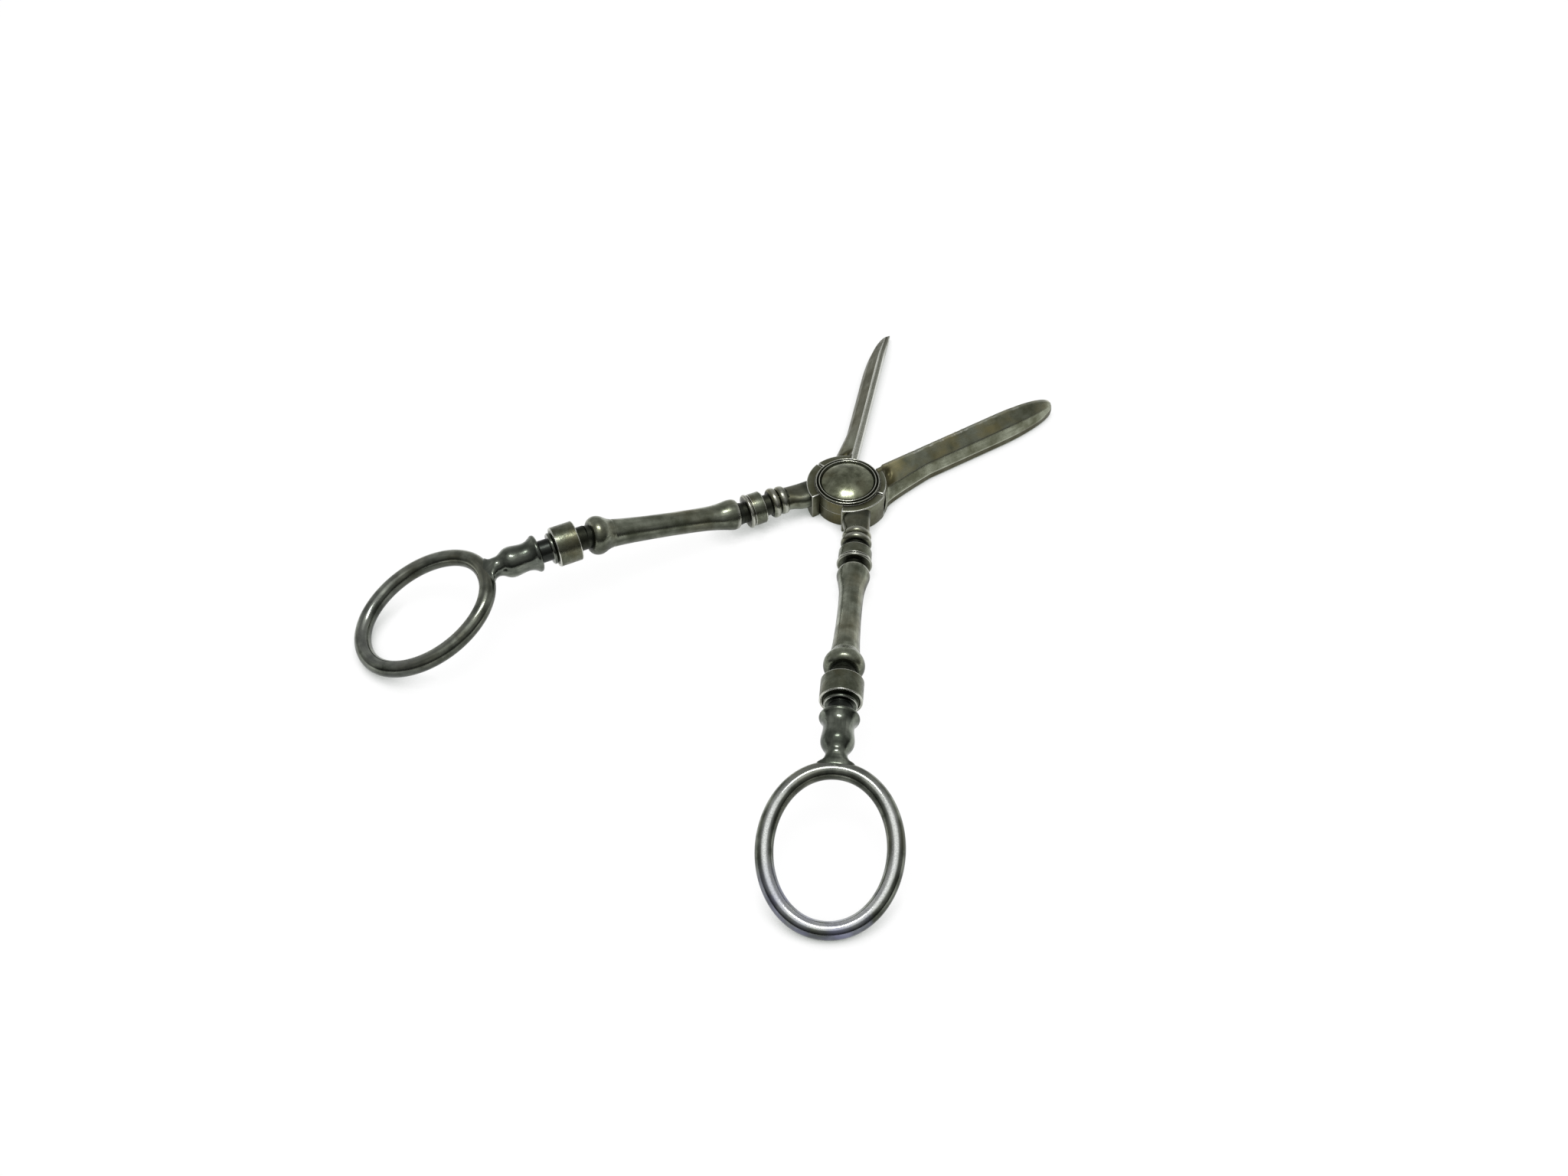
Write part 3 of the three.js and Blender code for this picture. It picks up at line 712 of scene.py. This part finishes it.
def turnFinial(p):
    outline = [(p.start, p.hub), (p.face, p.hub)] + smoothRings(p.line)
    turnForBoth("finial", p, outline, "grip", "polished_plate", "slate",
                reshape=lambda piece: dipEnd(piece, *p.dip))


turnNeckBeads(neckBeads)
turnSmallCollar(smallCollar)
turnShaft(shaft)
turnLargeCollar(largeCollar)
turnStepRing(stepRing)
turnFinial(finial)
print("handle pieces turned")


# oval finger ring of round wire, drooping from the finial
# per arm: how bright the painted highlight along the top of the wire, and how blue the far end of the ring
fingerRing = Settings(
    halfLength=15, halfWidth=12.25, wire=1.76, droop=20.9, centre=97, height=7.11,
    sectionSteps=14, lengthSteps=48, rubs=Settings(left_arm=(0.12, 0.1), right_arm=(1.0, 0.8)),
    rubBand=(0.8, 0.96), rubLean=0.08, endBand=(-0.97, -0.4), endRub=0.2,
    dull=0.75, dullBand=(0.1, 0.7), castBand=(-0.1, 0.8),
)


def bendFingerRing(p):
    deselectAll()
    bpy.ops.curve.primitive_bezier_circle_add(radius=p.halfWidth * mm)
    wire = bpy.context.object
    bpy.ops.object.mode_set(mode="EDIT")
    bpy.ops.curve.select_all(action="SELECT")
    bpy.ops.transform.resize(value=(1, p.halfLength / p.halfWidth, 1))
    bpy.ops.object.mode_set(mode="OBJECT")
    wire.data.bevel_depth = p.wire * mm
    wire.data.bevel_resolution = p.sectionSteps
    wire.data.resolution_u = p.lengthSteps
    bpy.ops.object.convert(target="MESH")
    pattern = bpy.context.object
    keepTurning(pattern, wirePlaces(pattern, p))
    smoothShade(pattern, 60)
    droop = Matrix.Rotation(-radians(p.droop), 4, "X")
    loop = Matrix.Translation((0, p.centre * mm, p.height * mm)) @ droop
    for arm, side in arms.items():
        copy = placeCopy(pattern, f"{arm}_finger_ring_wire", handlePlace(side) @ loop)
        markRing(copy, p, *p.rubs[arm])
        fitPiece(copy, arm, "polished_plate", f"{arm}_finger_ring", look="ring")
    dropPattern(pattern)


# place on the wire: out from its middle, along its length and up
def wirePlaces(piece, p):
    places = []
    for vert in piece.data.vertices:
        angle = atan2(vert.co.y / p.halfLength, vert.co.x / p.halfWidth)
        onLine = Vector((cos(angle) * p.halfWidth, sin(angle) * p.halfLength, 0)) * mm
        out = vert.co - onLine
        across = out.xy.length * (1 if out.xy.dot(onLine.xy) > 0 else -1)
        places.append((across, angle * p.halfLength * mm, out.z))
    return places


# a painted highlight along the top of the wire, painted shade on its underside, and a blue cast on the far
# end
def markRing(piece, p, rub, blue):
    places = [mark.vector.copy() for mark in piece.data.attributes["turning"].data]
    rubbedAndSheen, dull, cast = [], [], []
    for vert, (across, along, _) in zip(piece.data.vertices, places):
        far = sin(along / (p.halfLength * mm))
        facing = vert.normal.z - p.rubLean * across / (p.wire * mm)
        fading = blend(p.endRub, 1, eases(*p.endBand, far))
        rubbedAndSheen.append(rub * eases(*p.rubBand, facing) * fading)
        dull.append(p.dull * (1 - eases(*p.dullBand, vert.normal.z)))
        cast.append(blue * eases(*p.castBand, far))
    setMarks(piece, "wearAndSheen", rubbedAndSheen)
    setMarks(piece, "grimeAndShade", dull)
    setMarks(piece, "cast", cast)


bendFingerRing(fingerRing)
print("finger rings bent")


# domed cap over the pivot: two fine rings, the inner one a little higher, and a round dome
domedCap = Settings(
    bottom=6.7, radius=7.2, rimWidth=0.6, foot=6.88, rings=2, ringHalf=0.15, ringRise=0.2,
    ringSteps=12, groove=0.4, sunk=0.2, climb=0.1, domeFoot=7.0, top=8.56, domeSteps=25,
    middle=0.02, around=128, rubBand=(0.72, 0.98),
)


def turnCap(p):
    radius, foot = p.radius, p.foot
    outline = [(p.bottom, radius - p.rimWidth), (p.bottom, radius)]
    for _ in range(p.rings):
        for t in evenly(p.ringSteps):
            height = foot + p.ringRise * sin(pi * t)
            outline.append((height, radius - p.ringHalf * (1 - cos(pi * t))))
        radius -= 2 * p.ringHalf + p.groove
        outline.append((foot - p.sunk, radius + p.groove / 2))
        foot += p.climb
    rise = p.top - p.domeFoot
    curve = (radius ** 2 + rise ** 2) / (2 * rise)
    edge = asin(radius / curve)
    for t in evenly(p.domeSteps)[:-1]:
        angle = edge * (1 - t)
        outline.append((p.top - curve + curve * cos(angle), curve * sin(angle)))
    outline.append((p.top, p.middle))
    cap = turnUpright("domed_cap_turned", outline, p.around)
    # the rubbed crests, bright with a painted highlight, are kept only where the rings face up
    weakenMarks(cap, "wearAndSheen", [eases(*p.rubBand, v.normal.z) for v in cap.data.vertices])
    fitPiece(cap, "right_arm", "satin_plate", "domed_cap", look="cap")


# rivet through the joint, its round-edged head let into the lower lap
pivotPin = Settings(
    middleBottom=0.02, middle=0.3, bottom=0.03, face=3.1, head=4, edgeTop=0.5,
    headHeight=1.2, pin=2, top=6.4, taperTop=6.7, tip=1.4, tipTop=7.2, around=64,
)


def turnPin(p):
    outline = [(p.middleBottom, p.middle), (p.bottom, p.face)]
    outline += flare((p.bottom, p.face), (p.bottom, p.head), (p.edgeTop, p.head), 8)
    outline += [
        (p.headHeight, p.head), (p.headHeight, p.pin), (p.top, p.pin),
        (p.taperTop, p.tip), (p.tipTop, p.tip),
    ]
    pin = turnUpright("pivot_pin_turned", eased(outline), p.around)
    fitPiece(pin, "right_arm", "dark_steel", "pivot_pin")


turnCap(domedCap)
turnPin(pivotPin)
print("cap and pin turned")


# the joint: lap disc, and blocks for the shoulder and the blade's root, tied to the disc by bridges
lap = Settings(
    disc=7.2, plane=3.4, slit=0.03, bottom=0, top=6.4, seat=4.3, seatDepth=1.5, hole=2.05,
    discEase=0.06, around=128, clearAt=7.26, tuckIn=6.4, height=6.5, shoulder=9.2, root=8.7,
    wideRoot=9.15, rootStart=32.6, rootEnd=88, shoulderStart=196.6, shoulderEnd=268.9,
    stepAngle=2, edge=0.26, bridgeGap=0.1, bridgeIn=0.4, bridgeTurn=1,
    discGrime=1.0, blockGrime=0.85, wallFade=0.3, topFade=0.6, capShade=(0.15, 0.7),
    topBand=(0.3, 0.9), edgeBend=(0.9, 3.0), sideRub=0.12, rubBand=(0.0, 0.45),
)


def turnLapDisc(p, arm, side):
    if side > 0:
        low, high = p.plane + p.slit, p.top
        outline = [(low, p.hole), (low, p.disc), (high, p.disc), (high, p.hole)]
    else:
        low, high = p.bottom, p.plane - p.slit
        outline = [
            (p.seatDepth, p.hole), (p.seatDepth, p.seat), (low, p.seat), (low, p.disc),
            (high, p.disc), (high, p.hole),
        ]
    disc = turnUpright(f"{arm}_lap_disc", eased(outline, p.discEase), p.around)
    markWalls(disc, p, p.discGrime)
    setMarks(disc, "warmth", [1] * len(disc.data.vertices))
    fitPiece(disc, arm, "blade_plate")


# a block between two angles from the arm's outer side, its outer wall from one radius to another
def jointBlock(p, name, inner, outer, angles, heights):
    steps = max(2, int((angles[1] - angles[0]) / p.stepAngle))
    low, high = heights
    rows = []
    for share in evenly(steps):
        angle = radians(blend(*angles, share))
        wall = blend(*outer, share)
        corners = ((inner, low), (wall, low), (wall, high), (inner, high))
        rows.append([(r * cos(angle), r * sin(angle), z) for r, z in corners])
    block = drawRows(name, rows)
    bevelSharp(block, p.edge)
    keepTurning(block)
    markEdges(block, *p.edgeBend)
    ups = [eases(*p.rubBand, vert.normal.z) for vert in block.data.vertices]
    weakenMarks(block, "wearAndSheen", [blend(p.sideRub, 1, up) for up in ups])
    markWalls(block, p, p.blockGrime)
    smoothShade(block)
    return block


# painted shade on the joint's walls, heavier towards the table, and on the tops close to the cap
def markWalls(block, p, heavy):
    capStart, capEnd = (p.disc + away for away in p.capShade)
    grime = []
    for vert in block.data.vertices:
        height, radius = vert.co.z / mm, hypot(vert.co.x, vert.co.y) / mm
        wall = heavy - p.wallFade * eases(0, p.height, height)
        top = 1 - p.topFade * eases(capStart, capEnd, radius)
        grime.append(blend(wall, top, eases(*p.topBand, vert.normal.z)))
    setMarks(block, "grimeAndShade", grime)


def makeJoint(p):
    full = (p.bottom, p.height)
    shoulder, root = (p.shoulderStart, p.shoulderEnd), (p.rootStart, p.rootEnd)
    for arm, side in arms.items():
        turnLapDisc(p, arm, side)
        upper = (p.plane + p.slit, p.top - p.bridgeGap)
        lower = (p.bottom + p.bridgeGap, p.plane - p.slit)
        layer = upper if side > 0 else lower
        blocks = (
            ("shoulder", (p.shoulder, p.shoulder), shoulder),
            ("root", (p.root if side > 0 else p.wideRoot, p.root), root),
        )
        for part, walls, angles in blocks:
            bridge = (walls[1] - p.bridgeIn,) * 2
            turned = (angles[0] + p.bridgeTurn, angles[1] - p.bridgeTurn)
            made = (
                jointBlock(p, f"{arm}_{part}", p.clearAt, walls, angles, full),
                jointBlock(p, f"{arm}_{part}_bridge", p.tuckIn, bridge, turned, layer),
            )
            for block in made:
                mirrorFor(block, side)
                settle(block, armPlace(side))
                fitPiece(block, arm, "blade_plate")


makeJoint(lap)
print("joint made")

# neck: a soft-cornered block at the shoulder, round at the beads
neck = Settings(
    start=6.9, end=14.1, innerHalf=3.45, outerHalf=2.65, bottom=2.2, top=6.35, endHalf=2.75,
    endRadius=2.4, endFlat=0.3, corner=0.7, endCorner=0.95, blockShare=0.45, around=64,
    rows=24, edgeBend=(1.2, 4), grime=0.42, rootGrime=0.4, grimeFade=(9.2, 10.2), shade=50,
)


# one section of the neck, from the shoulder at 0 to the beads at 1
def neckRow(p, side, along):
    share = eases(p.blockShare, 1, along)
    inner, outer = blend(p.innerHalf, p.endHalf, share), blend(p.outerHalf, p.endHalf, share)
    bottom = blend(p.bottom, handle.neckHeight - p.endRadius, share)
    top = blend(p.top, handle.neckHeight + p.endRadius - p.endFlat, share)
    power = blend(p.corner, p.endCorner, share)
    y = blend(p.start, p.end, along)
    row = []
    for t in evenly(p.around)[:-1]:
        angle = 2 * pi * t
        across, up = (copysign(abs(v) ** power, v) for v in (cos(angle), sin(angle)))
        x = (outer - inner) / 2 + across * (outer + inner) / 2
        row.append((side * x, y, (top + bottom) / 2 + up * (top - bottom) / 2))
    return row


def drawNeck(p):
    for arm, side in arms.items():
        piece = drawRows(f"{arm}_neck", [neckRow(p, side, t) for t in evenly(p.rows)])
        keepTurning(piece)
        markEdges(piece, *p.edgeBend)
        # painted shade over the neck, deeper close to the shoulder
        fades = [1 - eases(*p.grimeFade, vert.co.y / mm) for vert in piece.data.vertices]
        setMarks(piece, "grimeAndShade", [p.grime + p.rootGrime * fade for fade in fades])
        smoothShade(piece, p.shade)
        settle(piece, handlePlace(side))
        fitPiece(piece, arm, "polished_plate")


drawNeck(neck)
print("necks drawn")

# blade: a wedge with a top strip, a wide facet down to a ridge and a steep one to the outer edge
# perArm holds what differs between the two: the tip's forms, the lip, the rebate and the marks, among them
# painted shade and a painted reflection
blade = Settings(
    bottom=0.35, edgeTop=6.8, ridgeShare=0.745, rootRidgeShare=0.67, mostRidge=0.85,
    ridgeHeight=4.45, outerHeight=1.9, chamfer=0.1, strip=0.5, stripFall=0.02, mostStrip=0.3,
    soft=0.07, mostSoft=0.03, leaveAngle=46, sweepStart=(5.6, 7.5), sweepEnd=(4.6, 14),
    width=3.8, straightFrom=20, straightTo=40,
    # per arm: painted shade on the top and on the steep facet, and rubbed metal with a painted reflection
    # on the step
    perArm=Settings(
        left_arm=Settings(
            drawIn=47, close=(2.7, 55.8, 5.8), end=(0.2, 57.2, 2.4), ridge=1.7, outer=1.1,
            lip=0.4, rebate=0.5, dull=0.0, steep=0.2, warm=1, rub=0.42,
        ),
        right_arm=Settings(
            drawIn=46, close=(3, 54.5, 4.6), end=(0, 58.3, 1), ridge=0.9, outer=0.75,
            lip=0.12, rebate=0.52, dull=0.78, steep=0.75, warm=0.3, rub=0.92,
        ),
    ),
    rootSteps=8, sweepSteps=28, straightSteps=56, tipSteps=36, facetSteps=10, steepSteps=6,
    ridgeGrow=0.5, mostChamfer=0.45, edgeDrops=(0.07, 0.16), footDrop=0.12, leastUnder=0.5,
    underShares=(0.6, 0.3, 0), innerShares=(0.35, 0.7), lipBand=(-0.1, 0.9), arcFade=0.8,
    scoopFloor=5.2, scoopRise=0.8, scoopFlat=1.4, scoopCurve=1.4, scoopSide=9, scoopFrom=0.5,
    sideCurve=1.5, scoopSharp=7, scoopReach=2, innerRoot=7.5, rebateGap=0.15, rebateIn=-2.3,
    cutPast=1, cutLow=-1, cutHigh=9, lapBend=50, tipLap=1.15,
    chips=16, chipBands=((17, 46), (0.25, 0.6), (0.03, 0.1)), seed=11,
    edgeBend=(1.0, 3.2), scoopFade=(1.6, 3.6), rootFade=(11, 19), grimeFade=(44, 54),
    rubFade=(44, 55), underGrime=0.9, stripRub=0.35, stepWarm=0.1, shade=28,
    scoopIn=(0.2, 1.0), scoopLeast=0.5, scoopUp=(0.5, 0.7), underOut=(0.4, 0.7),
    underBand=(-0.15, -0.08), facetOut=(0.5, 0.7), facetBand=(0, 0.2), topUp=(0.2, 0.5),
    rootDull=0.45, stripBand=(0.05, -0.1), stripUp=(0.6, 0.9), stepEdge=0.03, stepUp=0.5,
    tipRub=0.85, warmUp=(0.45, 0.7),
)
chance = random.Random(blade.seed)
# place along, reach and depth of each chip
chips = [[chance.uniform(*band) for band in blade.chipBands] for _ in range(blade.chips)]


# depth of the chips in the top inner edge, at a place along the blade
def chipDepth(y):
    return max(depth * max(0, 1 - abs(y - at) / reach) for at, reach, depth in chips)


# half width, length and top height along the outer edge
def bladeEdge(p, own):
    top = p.edgeTop
    edge = []
    for t in evenly(p.rootSteps):
        angle = radians(blend(lap.rootStart, p.leaveAngle, t))
        edge.append((lap.shoulder * cos(angle), lap.shoulder * sin(angle), top))
    sweep = (edge[-1][:2], p.sweepStart, p.sweepEnd, (p.width, p.straightFrom))
    edge += [(*bezier(sweep, t), top) for t in evenly(p.sweepSteps, 1)]
    lengths = [blend(p.straightFrom, p.straightTo, t) for t in evenly(p.straightSteps, 1)]
    edge += [(p.width, y, top) for y in lengths[:-1]]
    tip = ((p.width, p.straightTo, top), (p.width, own.drawIn, top), own.close, own.end)
    return edge + [bezier(tip, t) for t in evenly(p.tipSteps)]


# one section of the blade: over the top from the inner edge, down the wall and back underneath
def bladeRow(p, own, x, y, top):
    share = min(x / p.width, 1)
    ridge = blend(own.ridge, p.ridgeHeight, share)
    outer = blend(own.outer, p.outerHeight, share)
    rootY = lap.shoulder * sin(radians(lap.rootStart))
    reach = min(max((y - rootY) / (p.straightFrom - rootY), 0), 1)
    innerY = blend(p.innerRoot, p.straightFrom, reach) if y < p.straightFrom else y
    ridgeShare = blend(p.rootRidgeShare, p.ridgeShare, eases(0, p.ridgeGrow, reach))
    width = x + own.lip
    strip = min(p.strip / width, p.mostStrip)
    soft = min(p.soft / width, p.mostSoft)
    ridgeAt = min((own.lip + ridgeShare * x) / width, p.mostRidge)

    def place(s):
        return rowPoint(p, own.lip, s, x, y, innerY, reach)

    shares = [0, strip - soft, strip + soft]
    shares += [blend(strip + soft, ridgeAt - 3 * soft, t) for t in evenly(p.facetSteps, 1)]
    shares += [ridgeAt - soft, ridgeAt + soft]
    shares += [blend(ridgeAt + 3 * soft, 1 - soft, t) for t in evenly(p.steepSteps)]
    facetStart = top - p.stripFall
    row = []
    for s in shares:
        if s <= strip:
            z = top - p.stripFall * s / strip
        elif s <= ridgeAt:
            z = blend(facetStart, ridge, (s - strip) / (ridgeAt - strip))
        else:
            z = blend(ridge, outer, (s - ridgeAt) / (1 - ridgeAt))
        z = scooped(p, z, s / ridgeAt, innerY - lap.root)
        if s < strip:
            z -= chipDepth(y)
        row.append([*place(s), z])
    edge, inner = Vector(place(1)), Vector(place(0))
    inward = (inner - edge).normalized() * min(p.chamfer, p.mostChamfer * width)
    wall = outer - p.bottom
    drops = (*p.edgeDrops, wall - p.footDrop, wall)
    row += [[*(edge + inward * drop / wall), outer - drop] for drop in drops]
    under = max(1 - p.chamfer / width, p.leastUnder)
    row += [[*place(s * under), p.bottom] for s in p.underShares]
    row += [[*inner, blend(p.bottom, top, t)] for t in p.innerShares]
    return row


# a point across the blade: along an arc about the pivot at the root, straight further out
def rowPoint(p, fullLip, s, x, y, innerY, reach):
    lip = fullLip * eases(*p.lipBand, innerY - lap.root)
    straight = Vector((blend(-lip, x, s), blend(innerY, y, s)))
    inner, outer = Vector((-lip, innerY)), Vector((x, y))
    angle = blend(atan2(inner.y, inner.x), atan2(outer.y, outer.x), s)
    radius = blend(inner.length, outer.length, s)
    arc = Vector((radius * cos(angle), radius * sin(angle)))
    return tuple(arc.lerp(straight, eases(0, p.arcFade, reach)))


# scoop beside the joint: a flat floor that rises into the facet outwards and inwards
def scooped(p, z, share, along):
    floor = p.scoopFloor + p.scoopRise * max(0, along - p.scoopFlat) ** p.scoopCurve
    floor += p.scoopSide * max(0, p.scoopFrom - share) ** p.sideCurve
    if floor > z + p.scoopReach:
        return z
    sharp = p.scoopSharp
    return -log(exp(-sharp * z) + exp(-sharp * floor)) / sharp


# the step that lets the other blade's lip pass, lower towards the tip
def cutRebate(p, piece, side, rebate):
    gap, away = side * p.rebateGap, p.cutLow if side > 0 else p.cutHigh
    start, end = p.cutPast, p.perArm.right_arm.end[1] + p.cutPast
    profile = (
        (start, away), (end, away), (end, p.tipLap + gap),
        (p.lapBend, lap.plane + gap), (start, lap.plane + gap),
    )
    cutter = drawRows("cutter", [[(x, y, z) for y, z in profile] for x in (p.rebateIn, rebate)])
    selectOnly(piece)
    cut = piece.modifiers.new("rebate", "BOOLEAN")
    cut.object, cut.operation, cut.solver = cutter, "DIFFERENCE", "EXACT"
    bpy.ops.object.modifier_apply(modifier=cut.name)
    dropPattern(cutter)


# grime and painted shade in the scoop; painted shade under the outer edge, on the steep facet and on the
# top, lighter near the root; rubbed metal with a painted reflection on the step and a painted highlight on
# the top strip
def markBlade(p, own, piece, side):
    grime, gold, bright = [], [], []
    stripEnd = p.strip - own.lip
    for vert in piece.data.vertices:
        x, y, z = vert.co / mm
        out, up = vert.normal.x, vert.normal.z
        scoop = 1 - eases(*p.scoopFade, hypot(x, y) - lap.root)
        scoop *= blend(p.scoopLeast, 1, eases(*p.scoopIn, x)) * eases(*p.scoopUp, up)
        under = eases(*p.underOut, out) * (1 - eases(*p.underBand, z - p.outerHeight))
        facet = eases(*p.facetOut, out) * eases(*p.facetBand, z - p.outerHeight)
        top = eases(*p.topUp, up) * blend(p.rootDull, 1, eases(*p.rootFade, y))
        shade = max(scoop, p.underGrime * under, own.steep * facet, own.dull * top)
        strip = p.stripRub * eases(*p.stripBand, x - stripEnd) * eases(*p.stripUp, up)
        if x < own.rebate + p.stepEdge and (side < 0 or up < p.stepUp):
            grime.append(shade * eases(*p.grimeFade, y))
            gold.append(p.stepWarm)
            bright.append(max(strip, own.rub * (1 - p.tipRub * eases(*p.rubFade, y))))
        else:
            grime.append(shade)
            gold.append(own.warm * eases(*p.warmUp, up))
            bright.append(strip)
    raiseMarks(piece, "wearAndSheen", bright)
    setMarks(piece, "grimeAndShade", grime)
    setMarks(piece, "warmth", gold)


def drawBlade(p):
    for arm, side in arms.items():
        own = p.perArm[arm]
        rows = [bladeRow(p, own, *point) for point in bladeEdge(p, own)]
        piece = drawRows(f"{arm}_blade_forged", rows)
        cutRebate(p, piece, side, own.rebate)
        keepTurning(piece)
        markEdges(piece, *p.edgeBend)
        markBlade(p, own, piece, side)
        smoothShade(piece, p.shade)
        mirrorFor(piece, side)
        settle(piece, armPlace(side))
        fitPiece(piece, arm, "blade_plate", f"{arm}_blade")


drawBlade(blade)
print("blades drawn")

# the nodes that stay as the frame has them
for name in ("left_arm_tang", "right_arm_tang", "spring_washer"):
    dress(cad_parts[name], finishes["dark_steel"])

# table, world and lamps; stops are grey levels by height above the horizon
studio = Settings(
    floorSize=6, floorColour=0.92, floorRough=0.9, whiteShare=0.955,
    contactReach=0.0045, contactBand=(0.15, 0.65), contactColour=(0.13, 0.16, 0.13),
    lampHeight=0.8, lampPlace=(0.0, -0.03), lampTurn=37,
    glintSize=(0.3, 0.11), glintPower=2.0, fillSize=(0.9, 0.9), fillPower=6.5,
    backWay=(-0.6, 0.8, 0), backBand=(-0.3, 0.3),
    frontStops=(
        (0.0, 0.05), (0.22, 0.06), (0.45, 0.22), (0.62, 0.33), (0.8, 0.4), (0.9, 0.95), (1.0, 1.05),
    ),
    backStops=((0.0, 0.55), (0.35, 0.5), (0.6, 0.4), (0.8, 0.36), (0.9, 0.42), (1.0, 1.05)),
)


# white as camera and metal see it, with a painted contact shadow close under the metal; a plain pale table
# for the lamps
def layTable(p):
    deselectAll()
    bpy.ops.mesh.primitive_plane_add(size=p.floorSize, location=(0, 0, 0))
    floor = bpy.context.object
    floor.name = "table"
    finish, tree, shader = newFinish("paleTable")
    colour = (p.floorColour,) * 3 + (1,)
    setInputs(shader, {"Base Color": colour, "Roughness": p.floorRough, "Specular IOR Level": 0})
    path = addNode(tree, "LightPath")
    seen = mathNode(tree, "MAXIMUM", path.outputs["Is Camera Ray"], path.outputs["Is Glossy Ray"])
    glow = addNode(tree, "Emission")
    nearness = addNode(tree, "AmbientOcclusion", samples=4)
    nearness.inputs["Distance"].default_value = p.contactReach
    contact = mapRange(tree, nearness.outputs["AO"], *p.contactBand)
    tree.links.new(mixColour(tree, contact, p.contactColour, (1, 1, 1)), glow.inputs["Color"])
    mix = addNode(tree, "MixShader")
    tree.links.new(mathNode(tree, "MULTIPLY", seen, p.whiteShare), mix.inputs["Fac"])
    tree.links.new(shader.outputs["BSDF"], mix.inputs[1])
    tree.links.new(glow.outputs["Emission"], mix.inputs[2])
    tree.links.new(mix.outputs["Shader"], tree.nodes["Material Output"].inputs["Surface"])
    dress(floor, finish)


def heightRamp(tree, height, stops):
    ramp = addNode(tree, "ValToRGB")
    tree.links.new(height, ramp.inputs["Fac"])
    elements = ramp.color_ramp.elements
    while len(elements) < len(stops):
        elements.new(0.5)
    for element, (at, value) in zip(elements, stops):
        element.position = at
        element.color = (value, value, value, 1)
    return ramp.outputs["Color"]


# a room that is darker low down in front and greyer at the back; the camera sees white
def lightRoom(p):
    world = bpy.data.worlds.new("studio")
    scene.world = world
    world.use_nodes = True
    tree = world.node_tree
    direction = addNode(tree, "TexCoord").outputs["Generated"]
    split = addNode(tree, "SeparateXYZ")
    tree.links.new(direction, split.inputs["Vector"])
    towardsBack = addNode(tree, "VectorMath", operation="DOT_PRODUCT")
    tree.links.new(direction, towardsBack.inputs[0])
    towardsBack.inputs[1].default_value = p.backWay
    front = heightRamp(tree, split.outputs["Z"], p.frontStops)
    back = heightRamp(tree, split.outputs["Z"], p.backStops)
    room = mixColour(tree, mapRange(tree, towardsBack.outputs["Value"], *p.backBand), front, back)
    path = addNode(tree, "LightPath")
    sky = mixColour(tree, path.outputs["Is Camera Ray"], room, (1, 1, 1, 1))
    tree.links.new(sky, tree.nodes["Background"].inputs["Color"])


# a small lamp that glints in the metal, and a large one that doesn't
def hangLamps(p):
    for name in ("glint", "fill"):
        lamp = bpy.data.lights.new(f"{name}Softbox", "AREA")
        lamp.shape = "RECTANGLE"
        lamp.size, lamp.size_y = p[f"{name}Size"]
        lamp.energy = p[f"{name}Power"]
        holder = bpy.data.objects.new(f"{name}Softbox", lamp)
        holder.location = (*p.lampPlace, p.lampHeight)
        holder.rotation_euler = (0, 0, radians(p.lampTurn))
        holder.visible_glossy = name == "glint"
        scene.collection.objects.link(holder)


layTable(studio)
lightRoom(studio)
hangLamps(studio)

# camera where the photograph was taken from
view = Settings(
    lens=38.283, sensor=36, clip=(0.01, 50), place=(0.14717, -0.22189, 0.26969),
    right=(0.81531, 0.57859, -0.02224), up=(-0.4199, 0.61726, 0.66534), back=(0.39869, -0.53312, 0.74621),
)


def setCamera(p):
    data = bpy.data.cameras.new("photoCamera")
    data.lens, data.sensor_width = p.lens, p.sensor
    data.clip_start, data.clip_end = p.clip
    camera = bpy.data.objects.new("photoCamera", data)
    turn = Matrix((p.right, p.up, p.back)).transposed().to_4x4()
    camera.matrix_world = Matrix.Translation(p.place) @ turn
    scene.collection.objects.link(camera)
    scene.camera = camera


setCamera(view)
scene.view_settings.view_transform = "Standard"
print("studio lit, camera set")
